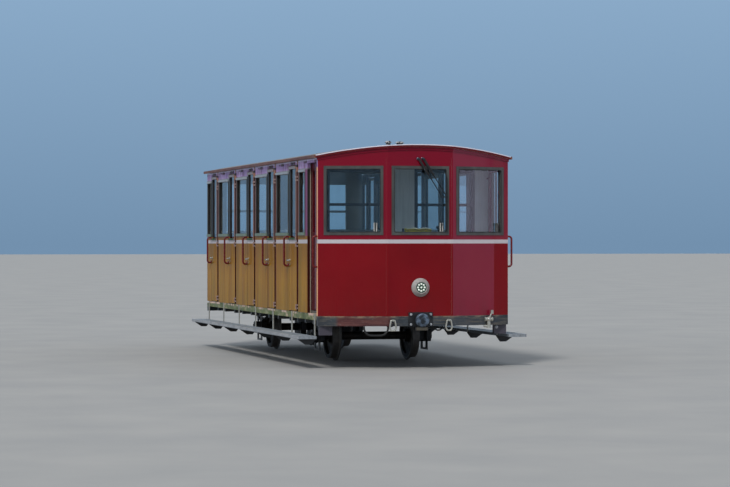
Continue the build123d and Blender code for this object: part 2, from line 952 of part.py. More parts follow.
def wheelset(axle_s):
    """Two wheels on their axle, turned as one section: columns are radius and distance from the middle."""
    back = wheel_back_to_back / 2
    face = back + tyre_w
    tread_r = tread_d / 2
    journal_start = box_in_y - 8
    half = [
        (0, 0), (axle_r, 0), (axle_r, back - 20), (hub_r, back - 20), (hub_r, back + 30),
        (hub_r + 25, back + 38), (tread_r - rim_t - 10, back + 28), (tread_r - rim_t, back),
        (tread_r + flange_h / 2, back), (tread_r + flange_h, back + 8), (tread_r + flange_h, back + 20),
        (tread_r + 3, back + flange_w), (tread_r - 3, face), (tread_r - rim_t, face),
        (tread_r - rim_t - 10, back + 72), (hub_r + 25, back + 62), (hub_r, back + 80), (hub_r, face),
        (axle_r - 2, face), (axle_r - 2, journal_start), (journal_r, journal_start),
        (journal_r, journal_end - 4), (0, journal_end - 4),
    ]
    turned = revolve(make_face(Polyline(*half, close=True)), axis=Axis.Y)
    return Pos(behind(axle_s), 0, axle_z) * (turned + mirror(turned, about=Plane.XZ))


def toothed_disc(turn):
    """One lamella of the pinion: straight-sided teeth on a disc."""
    step = 2 * math.pi / pinion_teeth
    heights = {-1: -dedendum, 1: addendum}
    points = []
    for tooth in range(pinion_teeth):
        for share, place in tooth_corners:
            angle = (tooth + share) * step + turn
            radius = pinion_pitch_r + heights[place]
            points.append((radius * math.cos(angle), radius * math.sin(angle)))
    return extrude(make_face(Polyline(*points, close=True)), amount=disc_t)


def brake_pinion():
    """Two toothed discs on a hub, half a pitch apart, lightened by round holes."""
    hub_l = 2 * disc_t + disc_gap + 2 * pinion_hub_side
    parts = [Cylinder(pinion_hub_r, hub_l)]
    parts.append(Pos(0, 0, -disc_t - disc_gap / 2) * toothed_disc(0))
    parts.append(Pos(0, 0, disc_gap / 2) * toothed_disc(math.pi / pinion_teeth))
    whole = fuse(parts)
    for number in range(pinion_holes):
        angle = 2 * math.pi * number / pinion_holes
        place = Pos(pinion_hole_at * math.cos(angle), pinion_hole_at * math.sin(angle), 0)
        whole -= place * Cylinder(pinion_hole_r, hub_l + 2)
    whole -= Cylinder(axle_r, hub_l + 2)
    return Pos(behind(rear_axle_s), pinion_y, axle_z) * Rot(90, 0, 0) * whole


def brake_drum():
    """A grooved drum beside the pinion."""
    whole = Cylinder(drum_r, drum_w) - Cylinder(axle_r, drum_w + 2)
    for number in range(drum_grooves):
        z = -drum_w / 2 + drum_w * (number + 0.5) / drum_grooves
        whole -= Pos(0, 0, z) * (Cylinder(drum_r + 1, groove_w) - Cylinder(drum_r - groove_h, groove_w))
    return Pos(behind(rear_axle_s), drum_y, axle_z) * Rot(90, 0, 0) * whole


def brake_shoes():
    """A curved shoe before and behind the drum, each hung from the nearest cross member."""
    inner_r = drum_r + shoe_clear
    outer_r = inner_r + shoe_t
    angle = math.radians(shoe_half_angle)
    corner = [(r * math.cos(angle), r * math.sin(angle)) for r in (inner_r, outer_r)]
    outline = make_face([
        ThreePointArc(corner[0], (inner_r, 0), (corner[0][0], -corner[0][1])),
        ThreePointArc(corner[1], (outer_r, 0), (corner[1][0], -corner[1][1])),
        Line(corner[0], corner[1]),
        Line((corner[0][0], -corner[0][1]), (corner[1][0], -corner[1][1])),
    ])
    shoe = Rot(90, 0, 0) * extrude(outline, amount=shoe_w / 2, both=True)
    x = behind(rear_axle_s)
    member_ends = {
        1: behind(max(s for s in member_places if s < rear_axle_s) + member_w / 2),
        -1: behind(min(s for s in member_places if s > rear_axle_s) - member_w / 2),
    }
    top = sill_bottom + shoe_hanger_up
    pieces = []
    for end, member_x in member_ends.items():
        near = x + end * (outer_r - shoe_lap)
        half = shoe_hanger_w / 2
        foot = axle_z - shoe_hanger_foot
        hanger = box(near, near + end * shoe_hanger_t, drum_y - half, drum_y + half, foot, top)
        bracket = box(near, member_x, drum_y - half, drum_y + half, top - shoe_hanger_t, top)
        turned = shoe if end == 1 else Rot(0, 0, 180) * shoe
        pieces.append(fuse([Pos(x, drum_y, axle_z) * turned, hanger, bracket]))
    return pieces


def grab_rail(x, side):
    """A round bar bent to a C, standing on the side wall's face."""
    foot = side * half_w
    out = side * (half_w + grab_out - grab_r)
    points = [(x, foot, grab_bottom), (x, out, grab_bottom), (x, out, grab_top), (x, foot, grab_top)]
    return bent_bar(points, grab_bend, grab_r)


def side_door(number, side):
    """A narrow leaf with a pane opening, its hinge knuckles, bars over and under the pane, and handle."""
    front_s = first_post + number * bay + post_w / 2 + hinge_gap
    x1, x0 = behind(front_s), behind(front_s + door_w)
    face, back = side * half_w, side * (half_w - door_t)
    pane = box(
        x0 + door_stile, x1 - door_stile, back - side, face + side, door_pane_bottom, door_pane_top
    )
    parts = [box(x0, x1, back, face, door_bottom, door_top) - pane]
    hinge_x, hinge_y = hinge_place(number, side)
    for z in hinge_heights:
        low, high = z - hinge_third + knuckle_play, z + hinge_third - knuckle_play
        parts.append(upright(hinge_x, hinge_y, low, high, knuckle_r))
        parts.append(box(hinge_x, x1 - hinge_leaf_w, face, side * (half_w + hinge_leaf_t), low, high))
    parts.append(box(
        x0 + head_bar_in, x1 - head_bar_in, face, face + side * head_bar_out,
        door_pane_top, door_pane_top + head_bar_h,
    ))
    parts.append(box(
        x0 + head_bar_in, x1 - head_bar_in, face, face + side * sill_bar_out,
        door_pane_bottom - sill_bar_h, door_pane_bottom,
    ))
    pull_x, pull_z = (x0 + x1) / 2, door_pane_bottom - sill_bar_h / 2
    pull_y = face + side * (sill_bar_out + pull_out)
    parts.append(rod((pull_x, face, pull_z), (pull_x, pull_y, pull_z), pull_r))
    handle_x = x0 + handle_from_edge
    out = side * (half_w + handle_out)
    parts.append(rod((handle_x, face, handle_z), (handle_x, out, handle_z), handle_r))
    parts.append(box(
        handle_x - handle_r, handle_x - handle_r + handle_l, out - side * handle_t, out,
        handle_z - handle_r, handle_z + handle_r,
    ))
    return fuse(parts)


def side_door_pane(number, side):
    front_s = first_post + number * bay + post_w / 2 + hinge_gap
    x1, x0 = behind(front_s + door_stile), behind(front_s + door_w - door_stile)
    middle = side * (half_w - door_t / 2)
    return box(x0, x1, middle - glass_t / 2, middle + glass_t / 2, door_pane_bottom, door_pane_top)


def cab_leaf_box(margin, y0, y1, z0, z1):
    """A box over a cab door's width, less a margin at both edges."""
    x0 = behind(cab_leaf_rear_s - margin)
    x1 = behind(corner_l - cab_leaf_lap + margin)
    return box(x0, x1, y0, y1, z0, z1)


def cab_door(side):
    """An inward-opening leaf behind the side wall, hinged at its rear edge."""
    y0, y1 = side * cab_leaf_in, side * cab_leaf_out
    leaf_bottom, leaf_top = floor_top + cab_leaf_gap, beam_bottom + cab_leaf_lap
    hole = cab_leaf_box(cab_stile, y0 - side, y1 + side, pane_bottom, pane_top)
    parts = [cab_leaf_box(0, y0, y1, leaf_bottom, leaf_top) - hole]
    middle = behind((corner_l + cab_door_end) / 2)
    parts.append(box(
        middle - cab_strip_w / 2, middle + cab_strip_w / 2, y1 - side * cab_strip_depth,
        y1 + side * cab_strip_out, leaf_bottom + cab_strip_end, leaf_top - cab_strip_end,
    ))
    x, y = behind(cab_hinge_s), side * cab_hinge_y
    for z in hinge_heights:
        low, high = z - hinge_third + knuckle_play, z + hinge_third - knuckle_play
        parts.append(upright(x, y, low, high, knuckle_r))
        parts.append(box(x, x + hinge_leaf_w, y0, side * (cab_leaf_in - hinge_leaf_t), low, high))
    return fuse(parts)


def cab_door_pane(side):
    """The pane lies behind the cover strip."""
    inner, outer = side * (cab_leaf_in + cab_pane_in), side * (cab_leaf_in + cab_pane_in + glass_t)
    return cab_leaf_box(cab_stile, inner, outer, pane_bottom, pane_top)


def cab_partition():
    """The wall behind the cab, with two windows and the carriers of the cab doors' hinges."""
    x1 = behind(partition_s)
    x0 = x1 - partition_t
    whole = under_roof(box(x0, x1, -inner_half, inner_half, floor_top, crown_bottom))
    for hole in wall_windows(x0 - 1, x1 + 1):
        whole -= hole
    parts = [whole]
    x = behind(cab_hinge_s)
    for side in (-1, 1):
        y = side * cab_hinge_y
        for low, high in post_knuckles():
            parts.append(upright(x, y, low, high, knuckle_r))
            parts.append(box(x1, x, y - hinge_leaf_t, y + hinge_leaf_t, low, high))
    return fuse(parts)


def bench_rows():
    """Each seat: the X of its back plane and the way it faces."""
    rows = []
    for number in range(bays):
        middle = first_door_middle + number * bay
        half = bay / 2 - back_board_t / 2
        front_plane = middle - half if number else partition_s + partition_t
        rear_plane = middle + half if number < bays - 1 else side_l - wall
        rows.append((behind(front_plane), -1))
        rows.append((behind(rear_plane), 1))
    return rows


def bench_frames():
    """Back boards between compartments, and the board under each seat's front edge."""
    pieces = []
    half = inner_half - bench_side_play
    for number in range(bays - 1):
        x = behind(first_door_middle + (number + 0.5) * bay)
        pieces.append(box(
            x - back_board_t / 2, x + back_board_t / 2, -half, half, floor_top, floor_top + back_board_h
        ))
    for x, way in bench_rows():
        edge = x + way * seat_d
        pieces.append(box(
            edge, edge - way * seat_front_t, -half, half, floor_top, floor_top + seat_top - seat_t
        ))
    return pieces


def bench_cushions():
    """A seat cushion on each bench, and a back cushion standing on it."""
    pieces = []
    half = inner_half - bench_side_play
    low = floor_top + seat_top - seat_t
    high = floor_top + back_board_h - back_cushion_clear
    for x, way in bench_rows():
        seat = box(x, x + way * seat_d, -half, half, low, low + seat_t)
        back = box(x, x + way * back_cushion_t, -half, half, low + seat_t, high)
        pieces += [fillet(piece.edges().filter_by(Axis.Y), seat_round) for piece in (seat, back)]
    return pieces


def cab_controls():
    """A desk on a leg behind the front windows with a console and a rest, and the handbrake."""
    top = floor_top + desk_top
    rear, front = behind(desk_rear_s), nose_x - wall
    desk = plan_prism(wall, rear, top - desk_t, top) & box(rear, nose_x, -desk_half, desk_half, 0, top + 1)
    leg_x = front - desk_leg_in
    leg = box(leg_x - desk_leg_t, leg_x, -desk_leg_half, desk_leg_half, floor_top, top - desk_t)
    rest_x = front - console_in - rest_d
    rest = box(rest_x, rest_x + rest_d, -rest_half, rest_half, top, top + rest_h)
    console = box(rest_x - console_d, rest_x, -console_half, console_half, top, top + console_h)
    x, wheel_z = behind(brake_s), top - brake_under_desk
    column = upright(x, brake_y, floor_top, wheel_z, brake_column_r)
    wheel_place = Pos(x, brake_y, wheel_z)
    rim = wheel_place * Torus(brake_wheel_r, brake_rim_r)
    spoke = Box(2 * brake_wheel_r, brake_spoke_w, brake_spoke_t)
    spokes = [wheel_place * Rot(0, 0, 180 * number / brake_spokes) * spoke for number in range(brake_spokes)]
    return [fuse([desk, leg, rest, console]), fuse([column, rim, *spokes])]


def headlamp_bezel():
    """A conical ring on the centre panel."""
    section = [
        (0, bezel_r), (lamp_lip, bezel_r), (lamp_out, lamp_r + lamp_lip), (lamp_out, lamp_r), (0, lamp_r),
    ]
    turned = revolve(make_face(Polyline(*section, close=True)), axis=Axis.X)
    return Pos(nose_x, 0, lamp_z) * turned


def headlamp_face():
    """The dark disc of the lamp, with a ring of small lenses about a middle one."""
    face_x = nose_x + lamp_out - lamp_lip
    parts = [rod((nose_x, 0, lamp_z), (face_x, 0, lamp_z), lamp_r)]
    places = [(0, 0)]
    for number in range(leds):
        angle = 2 * math.pi * number / leds
        places.append((led_ring_r * math.cos(angle), led_ring_r * math.sin(angle)))
    for y, z in places:
        parts.append(rod((face_x, y, lamp_z + z), (face_x + led_t, y, lamp_z + z), led_r))
    return fuse(parts)


def wiper():
    """Two parallel arms from their pivots to a short link that carries the upright blade."""
    out_x = nose_x + wiper_out
    pivot_z = roof_edge_bottom - wiper_pivot_down
    link_z = pane_top - wiper_link_down
    ends = [y + wiper_reach_y for y in wiper_pivots]
    parts = []
    for y, end_y in zip(wiper_pivots, ends):
        parts.append(rod((nose_x, y, pivot_z), (out_x + 2 * wiper_arm_r, y, pivot_z), 2 * wiper_arm_r))
        parts.append(rod((out_x, y, pivot_z), (out_x, end_y, link_z), wiper_arm_r))
    half = wiper_link_w / 2
    parts.append(box(
        out_x - half, out_x + half, ends[0] - half, ends[1] + half, link_z - half, link_z + half
    ))
    blade_bottom, blade_top = pane_bottom + blade_bottom_up, pane_top - blade_top_down
    back_x = nose_x + front_frame_out + blade_clear
    blade_face = out_x - wiper_arm_r / 2
    parts.append(box(back_x, blade_face, ends[1] - blade_w, ends[1], blade_bottom, blade_top))
    return fuse(parts)


def coupler(face_x, way):
    """A bolted plate, a round buffer head on its shank, and the coupling jaw under it."""
    tip = face_x + way * coupler_reach
    plate = box(face_x, face_x + way * plate_t, -plate_w / 2, plate_w / 2, plate_bottom, plate_top)
    shank = rod((face_x, 0, coupler_z), (tip - way * buffer_t / 2, 0, coupler_z), shank_r)
    head = rod((tip - way * buffer_t, 0, coupler_z), (tip, 0, coupler_z), buffer_r)
    head = fillet(head.edges().filter_by(GeomType.CIRCLE), buffer_edge_r)
    jaw_z = coupler_z - jaw_drop
    jaw_mid = face_x + way * (plate_t + jaw_l / 2)
    jaw = Pos(jaw_mid, 0, jaw_z) * Box(jaw_l, jaw_w, jaw_t)
    jaw = fillet(jaw.edges().filter_by(Axis.Z), jaw_l / 3)
    link = box(face_x, jaw_mid, -jaw_w / 4, jaw_w / 4, jaw_z - jaw_t / 2, plate_bottom + 30)
    bolt_y = plate_w / 2 - bolt_in
    bolts = [
        rod((face_x, y, z), (face_x + way * (plate_t + bolt_t), y, z), bolt_r)
        for y in (-bolt_y, bolt_y) for z in (plate_bottom + bolt_in, plate_top - bolt_in)
    ]
    whole = fuse([plate, shank, head, jaw, link, *bolts])
    pin_x, reach = face_x + way * jaw_pin_out, jaw_t / 2 + 1
    return whole - upright(pin_x, 0, jaw_z - reach, jaw_z + reach, jaw_pin_r)


def shackle(face_x, way, y):
    """A pear-shaped shackle hanging on an eye bolt."""
    x = face_x + way * (eye_out - eye_r)
    eye = rod((face_x, y, shackle_z), (face_x + way * eye_out, y, shackle_z), eye_r)
    low, narrow = shackle_z - shackle_h, shackle_half * 0.6
    points = [
        (x, y, shackle_z), (x, y - narrow, shackle_z), (x, y - shackle_half, low + shackle_half),
        (x, y - narrow, low), (x, y + narrow, low), (x, y + shackle_half, low + shackle_half),
        (x, y + narrow, shackle_z), (x, y + 1, shackle_z),
    ]
    return fuse([eye, bent_bar(points, [12, 20, 16, 16, 20, 12], shackle_bar_r)])


def corner_plates():
    """Plates under the front headstock's corners, each with a round bolt."""
    pieces = []
    for side in (-1, 1):
        y0 = side * (half_w - corner_plate_in - corner_plate_w)
        y1 = side * (half_w - corner_plate_in)
        x0, x1 = front_x - corner_plate_t, front_x
        plate = box(x0, x1, y0, y1, sill_bottom - corner_plate_h, sill_bottom)
        y, z = y0 + side * corner_bolt_in, sill_bottom - corner_plate_h / 4
        bolt = rod((x1, y, z), (x1 + corner_bolt_t, y, z), corner_bolt_r)
        pieces.append(fuse([plate, bolt]))
    return pieces


def air_cock():
    """A cock bolted to the front headstock's left part: body, ball, union across it, lever and branch."""
    y = half_w - cock_in
    x = front_x + cock_in * math.tan(nose_angle) + cock_out
    low = sill_bottom - cock_foot
    middle = low + cock_body_up
    pad_y, pad_z = y + lever_side, middle + lever_up
    parts = [
        upright(x, y, low, middle, cock_r),
        upright(x, y, low, low + cock_r, cock_r * 1.3),
        Pos(x, y, middle) * Sphere(ball_r),
        rod((x, y - union_half, middle), (x, y + union_half, middle), union_r * 0.75),
        rod((x, y, middle), (x - 2 * cock_out, y, middle), union_r * 0.75),
        rod((x, y, middle), (x, pad_y, pad_z), lever_r),
        Pos(x, pad_y, pad_z) * Box(2 * lever_r, lever_pad_w, lever_pad_h),
        rod((x, y, low + cock_r), (x, y - branch_l, low + cock_r), branch_r),
    ]
    for end in (-union_half, union_half - union_collar):
        parts.append(rod((x, y + end, middle), (x, y + end + union_collar, middle), union_r))
    panel = plan_prism(0, behind(corner_l), sill_bottom - 1, stripe_z, folded=True)
    return fuse(parts) - panel


def end_fittings():
    """Shackles on both ends, and the corner plates and air cock of the front."""
    pieces = [
        shackle(face_x, way, y)
        for face_x, way in ((nose_x, 1), (rear_x, -1)) for y in (-shackle_y, shackle_y)
    ]
    return pieces + corner_plates() + [air_cock()]


def hose_loop(x, y0, y1, drop, radius):
    """A hose hanging between two points of a headstock's underside."""
    low = sill_bottom - drop
    points = [(x, y0, sill_bottom), (x, y0, low), (x, y1, low), (x, y1, sill_bottom)]
    return bent_bar(points, hose_bend * min(drop, (y1 - y0) / 2), radius)


def brake_hoses():
    return [hose_loop(*row) for row in hose_rows]


def running_boards():
    return [
        box(rear_x + board_tail, front_x, side * board_in, side * board_out, board_top - board_t, board_top)
        for side in (-1, 1)
    ]


def board_hangers():
    """Flat bars from the side sills, with a foot and a gusset under the running boards."""
    pieces = []
    low = board_top - board_t - hanger_t
    back, edge = half_w - sill_in, board_out - hanger_to_edge
    for name, side in sides.items():
        corners = [
            (back, low), (edge, low), (edge - gusset_slope, low - gusset_h),
            (back + gusset_slope / 2, low - gusset_h),
        ]
        gusset_plan = make_face(Polyline(*[(side * y, z) for y, z in corners], close=True))
        for s in hanger_places(hanger_shift[name]):
            x0, x1 = behind(s) - hanger_w / 2, behind(s) + hanger_w / 2
            stem = box(x0, x1, side * back, side * (back + hanger_t), low, floor_bottom)
            foot = box(x0, x1, side * back, side * edge, low, low + hanger_t)
            gusset = Pos(behind(s) - gusset_t / 2, 0, 0) * extrude(Plane.YZ * gusset_plan, amount=gusset_t)
            pieces.append(fuse([stem, foot, gusset]))
    return pieces


def air_tank():
    """A reservoir slung by two bands under the cross members."""
    places = [middle_members[number] for number in tank_members]
    z = sill_bottom - tank_r - tank_band_t
    tank_l = places[1] - places[0] + 2 * tank_overhang
    middle = behind(sum(places) / 2)
    tank = rod((middle - tank_l / 2, 0, z), (middle + tank_l / 2, 0, z), tank_r)
    parts = [fillet(tank.edges().filter_by(GeomType.CIRCLE), tank_end_r)]
    for s in places:
        x0, x1 = behind(s) - tank_band_w / 2, behind(s) + tank_band_w / 2
        parts.append(rod((x0, 0, z), (x1, 0, z), tank_r + tank_band_t))
        parts.append(box(x0, x1, -tank_pad_half, tank_pad_half, z + tank_r * 0.7, sill_bottom))
    return fuse(parts)


def corner_rails():
    """Grab rails on the front corner posts."""
    return [grab_rail(behind(corner_l / 2), side) for side in (-1, 1)]


def grab_rails():
    """Grab rails on the fixed panels, beside the free edge of each side door."""
    first_s = first_post + post_w / 2 + hinge_gap + door_w + latch_gap + door_grab_in
    return [
        grab_rail(behind(first_s + number * bay), side) for side in (-1, 1) for number in range(bays)
    ]


def main():
    os.makedirs("parts", exist_ok=True)
    rear_middle = rear_x + wall / 2
    partition_middle = behind(partition_s + partition_t / 2)
    save("underframe", underframe())
    save("axle_guards", axle_guards())
    save("headstocks", headstocks())
    save("floor", floor())
    save("front_end", front_end())
    save("rear_end", rear_end())
    save("side_posts", side_posts())
    save("cant_rails", cant_rails())
    save("roof", roof())
    save("roof_trim", roof_trim())
    save("window_frames", front_window_frames() + side_window_frames())
    panes = front_panes() + side_panes() + wall_panes(rear_middle) + wall_panes(partition_middle)
    save("fixed_glass", panes)
    save("cab_partition", cab_partition())
    save("bench_frames", bench_frames())
    save("bench_cushions", bench_cushions())
    save("cab_controls", cab_controls())
    save("headlamp_bezel", headlamp_bezel())
    save("headlamp_face", headlamp_face())
    save("wiper", wiper())
    save("couplers", [coupler(nose_x, 1), coupler(rear_x, -1)])
    save("end_fittings", end_fittings())
    save("brake_hoses", brake_hoses())
    save("running_boards", running_boards())
    save("board_hangers", board_hangers())
    save("axle_boxes", axle_boxes())
    save("leaf_springs", leaf_springs())
    save("brake_shoes", brake_shoes())
    save("air_tank", air_tank())
    save("corner_rails", corner_rails())
    save("grab_rails", grab_rails())
    save("front_wheelset", wheelset(front_axle_s))
    save("rear_wheelset", wheelset(rear_axle_s))
    save("brake_pinion", brake_pinion())
    save("brake_drum", brake_drum())
    for name, side in sides.items():
        save(f"side_panels_{name}", side_panels(side))
        save(f"cab_door_{name}", cab_door(side))
        save(f"cab_door_{name}_glass", cab_door_pane(side))
        for number in range(bays):
            save(f"door_{name}_{number + 1}", side_door(number, side))
            save(f"door_{name}_{number + 1}_glass", side_door_pane(number, side))


main()
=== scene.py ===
"""Looks for the rack railway coach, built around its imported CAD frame. Metres, in the frame's own axes."""

import json
import math

import bpy
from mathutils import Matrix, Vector


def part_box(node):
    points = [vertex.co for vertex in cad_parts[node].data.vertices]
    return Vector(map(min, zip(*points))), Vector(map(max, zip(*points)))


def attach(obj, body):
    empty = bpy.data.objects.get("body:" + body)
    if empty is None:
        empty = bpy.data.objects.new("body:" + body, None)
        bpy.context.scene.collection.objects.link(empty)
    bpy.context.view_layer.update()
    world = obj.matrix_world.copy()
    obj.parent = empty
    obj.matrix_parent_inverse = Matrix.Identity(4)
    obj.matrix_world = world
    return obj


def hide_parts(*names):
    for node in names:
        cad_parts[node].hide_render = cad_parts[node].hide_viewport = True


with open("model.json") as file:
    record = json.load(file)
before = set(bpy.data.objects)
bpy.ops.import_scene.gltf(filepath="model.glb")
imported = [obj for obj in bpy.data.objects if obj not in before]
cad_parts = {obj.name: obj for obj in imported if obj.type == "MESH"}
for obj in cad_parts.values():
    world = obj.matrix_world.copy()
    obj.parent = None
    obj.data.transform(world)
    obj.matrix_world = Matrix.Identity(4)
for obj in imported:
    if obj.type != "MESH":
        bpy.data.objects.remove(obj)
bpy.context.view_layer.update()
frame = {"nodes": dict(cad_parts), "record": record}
NODES = frame["nodes"]
SCENE = bpy.context.scene

# Places taken from the frame, so that the looks follow it
RAIL = 0.028                                   # top of the rails
SIDE = 1.2                                     # body's half width
CENTRE_HALF = 0.407                            # half width of the centre front panel
WALL = 0.045
AXLE_Z = RAIL + 0.290
REAR_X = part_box("rear_end")[0].x
NOSE_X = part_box("headlamp_bezel")[0].x
FRONT_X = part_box("corner_rails")[1].x + 0.018  # front ends of the side walls
FLOOR_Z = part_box("floor")[1].z
ROOF_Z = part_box("roof")[1].z
PANE_LOW, PANE_HIGH = RAIL + 1.620, RAIL + 2.360
STRIPE = (RAIL + 1.482, RAIL + 1.529)
FACE_ANGLE = math.atan2(NOSE_X - FRONT_X, SIDE - CENTRE_HALF)
ROOF_HALF, ROOF_RISE = 1.230, 0.129
ROOF_RADIUS = (ROOF_HALF ** 2 + ROOF_RISE ** 2) / (2 * ROOF_RISE)

# Bays along a side; places along a bay count back from half a bay ahead of its door's middle
DOOR_1, BAY, BAYS = 1.3175, 1.264, 5           # first door's middle behind FRONT_X, and the step
HINGE = 0.2515                                 # a hinge post's place ahead of its door's middle
POST, POST_X = 0.5 * BAY - HINGE, FRONT_X - DOOR_1 + HINGE
RAIL_X = FRONT_X - 1.571                       # first grab rail
DOOR_PANE = (0.5 * BAY - 0.1415, 0.5 * BAY + 0.1415)
PANEL_PANE = 0.93                              # where a fixed panel's window begins
HANDLE = (0.69, 0.85)
HANDLE_HIGH = 1.5
DOOR_HEAD = RAIL + 2.412                       # lower edge of the bar over a door's pane
COVER, COVER_Z = 1.225, RAIL + 2.483           # middle of the fascia's covers over a fixed window
FASCIA_TOP = RAIL + 2.511
HANDS = {"right": -1, "left": 1}


def middle(name):
    """The middle of a node's box."""
    low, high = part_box(name)
    return (low + high) / 2


AXLES = {end: middle(end + "_wheelset") for end in ("front", "rear")}


def each_bay(first):
    """A place in the first bay, and the same place in the bays behind it."""
    return [first - bay * BAY for bay in range(BAYS)]


def tone(value):
    """A colour as linear RGBA: given so, as three parts from 0 to 255 of the render, or as one number."""
    if not isinstance(value, tuple):
        return (value, value, value, 1)
    if len(value) == 4:
        return value
    parts = [part / 255 for part in value]
    return (*(part / 12.92 if part <= 0.04045 else ((part + 0.055) / 1.055) ** 2.4 for part in parts), 1.0)


class Nodes:
    """A node tree whose nodes are added one by one."""

    def __init__(self, owner):
        owner.use_nodes = True
        self.tree = owner.node_tree

    def feed(self, socket, value):
        """Gives a socket a fixed value or a link."""
        if isinstance(value, (int, float, tuple)):
            socket.default_value = value
        else:
            self.tree.links.new(value, socket)

    def node(self, kind, *inputs, **values):
        node = self.tree.nodes.new("ShaderNode" + kind)
        for key, value in values.items():
            setattr(node, key, value)
        for socket, value in zip(node.inputs, inputs):
            self.feed(socket, value)
        return node

    def calc(self, operation, *inputs, **values):
        return self.node("Math", *inputs, operation=operation, **values).outputs[0]

    def ramp(self, value, *stops):
        """Maps a value through (position, colour or number) stops."""
        node = self.node("ValToRGB", value)
        elements = node.color_ramp.elements
        while len(elements) < len(stops):
            elements.new(0.5)
        for element, (position, colour) in zip(elements, stops):
            element.position, element.color = position, tone(colour)
        return node.outputs["Color"]


PAINTS = {}


class Paint(Nodes):
    """A material in object coordinates, whose masks are 1 where something shows; its colour is set last."""

    def __init__(self, name, specular=0.5, **sockets):
        self.material = bpy.data.materials.new(name)
        super().__init__(self.material)
        self.shader = self.tree.nodes["Principled BSDF"]
        self.coords = self.node("TexCoord").outputs
        self.place = self.coords["Object"]
        self.x, self.y, self.z = self.node("SeparateXYZ", self.place).outputs
        self.colour = self.relief = None
        self.set("Specular IOR Level", specular)
        for socket, value in sockets.items():
            self.set(socket.replace("_", " "), value)
        PAINTS[name] = self

    def set(self, socket, value):
        self.feed(self.shader.inputs[socket], value)

    def absolute(self, value):
        return self.calc("ABSOLUTE", value)

    def facing(self, axis):
        """How far a surface faces along an axis."""
        return self.node("SeparateXYZ", self.coords["Normal"]).outputs[axis]

    def noise(self, scale, detail=3.0, stretch=(1, 1, 1), roughness=0.55, offset=0.0):
        location = (offset, offset * 0.7, offset * 1.3)
        place = self.node("Mapping", self.place, location, (0, 0, 0), stretch).outputs[0]
        return self.node("TexNoise", place, 0.0, scale, detail, roughness).outputs["Fac"]

    def span(self, value, low, high):
        """From one colour or number to another over a noise's middle range."""
        return self.ramp(value, (0.3, low), (0.7, high))

    def tones(self, first, last, *noise, offset=0.0):
        """A noise seen through two stops."""
        return self.ramp(self.noise(*noise, offset=offset), first, last)

    def blots(self, low, high, amount, *noise, offset=0.0):
        """Patches of a noise: none of them below low, and amount above high."""
        return self.tones((low, 0.0), (high, amount), *noise, offset=offset)

    def rise(self, value, at, soft=0.002):
        """0 below at and 1 above it."""
        return self.node("MapRange", value, at - soft, at + soft).outputs["Result"]

    def below(self, value, at, soft=0.002):
        """1 below at and 0 above it."""
        return self.calc("SUBTRACT", 1.0, self.rise(value, at, soft))

    def step(self, value, low, high, soft=0.002):
        """1 between low and high, 0 outside."""
        edges = self.rise(value, low, soft), self.rise(value, high, soft)
        return self.calc("SUBTRACT", *edges, use_clamp=True)

    def where(self, mask, *others):
        """The product of masks."""
        for other in others:
            mask = self.calc("MULTIPLY", mask, other)
        return mask

    def mix(self, share, first, second):
        node = self.node("Mix", data_type="RGBA")
        for number, value in ((0, share), (6, first), (7, second)):
            self.feed(node.inputs[number], tone(value) if isinstance(value, tuple) else value)
        return node.outputs[2]

    def cover(self, colour, *masks):
        """Lays a colour over the paint's own where the masks show it."""
        self.colour = self.mix(self.where(*masks), self.colour, colour)

    def bump(self, height, depth):
        """Adds a relief whose height of 1 stands depth metres proud."""
        node = self.node("Bump", 1.0, depth)
        self.feed(node.inputs["Height"], height)
        if self.relief:
            self.feed(node.inputs["Normal"], self.relief)
        self.relief = node.outputs[0]
        self.set("Normal", self.relief)

    def along_bay(self):
        """Distance back along each bay."""
        behind = self.calc("SUBTRACT", FRONT_X - DOOR_1 + 0.5 * BAY, self.x)
        return self.calc("MODULO", self.calc("ADD", behind, BAY), BAY)

    def near_bay(self, place, half):
        """1 within half of a place in each bay."""
        turned = self.calc("ADD", self.along_bay(), 1.5 * BAY - place)
        away = self.absolute(self.calc("SUBTRACT", self.calc("MODULO", turned, BAY), 0.5 * BAY))
        return self.below(away, half, 0.003)

    def off_side(self):
        """How far a point lies outside the body's side."""
        return self.calc("SUBTRACT", self.absolute(self.y), SIDE)

    def outwards(self):
        """1 where the surface faces away from the cab's middle."""
        away = self.place
        flat = ("SUBTRACT", (FRONT_X - 1.2, 0, 0)), ("MULTIPLY", (1, 1, 0)), ("NORMALIZE", (0, 0, 0))
        for operation, other in flat:
            away = self.node("VectorMath", away, other, operation=operation).outputs[0]
        dot = self.node("VectorMath", self.coords["Normal"], away, operation="DOT_PRODUCT")
        return self.rise(dot.outputs["Value"], 0.25, 0.1)


def dirt(mat, low, high, amount):
    """More at the bottom, in soft streaks."""
    fade = mat.below(mat.z, (low + high) / 2, (high - low) / 2)
    return mat.where(fade, mat.blots(0.35, 0.7, amount, 9, 4, (1, 1, 0.12), offset=3))


def stripe(mat, where=1.0):
    """The coach's off-white stripe, worn thin in places."""
    worn = mat.tones((0.62, (178, 175, 182)), (0.78, (146, 124, 124)), 16, 5, (1, 1, 4), offset=7)
    mat.cover(worn, mat.step(mat.z, *STRIPE, 0.0015), where)


def plain(name, low, high, rough=(0.3, 0.5), scale=6, detail=5, stretch=(1, 1, 1), metal=0.0, relief=0.0004,
          fine=90, **sockets):
    """A colour that wanders between two tones, with uneven gloss and a fine relief."""
    mat = Paint(name, Metallic=metal, **sockets)
    mat.colour = mat.span(mat.noise(scale, detail, stretch), low, high)
    mat.set("Roughness", mat.span(mat.noise(scale * 2.3, detail, stretch, offset=5), *rough))
    mat.bump(mat.noise(fine, 3, stretch), relief)
    return mat


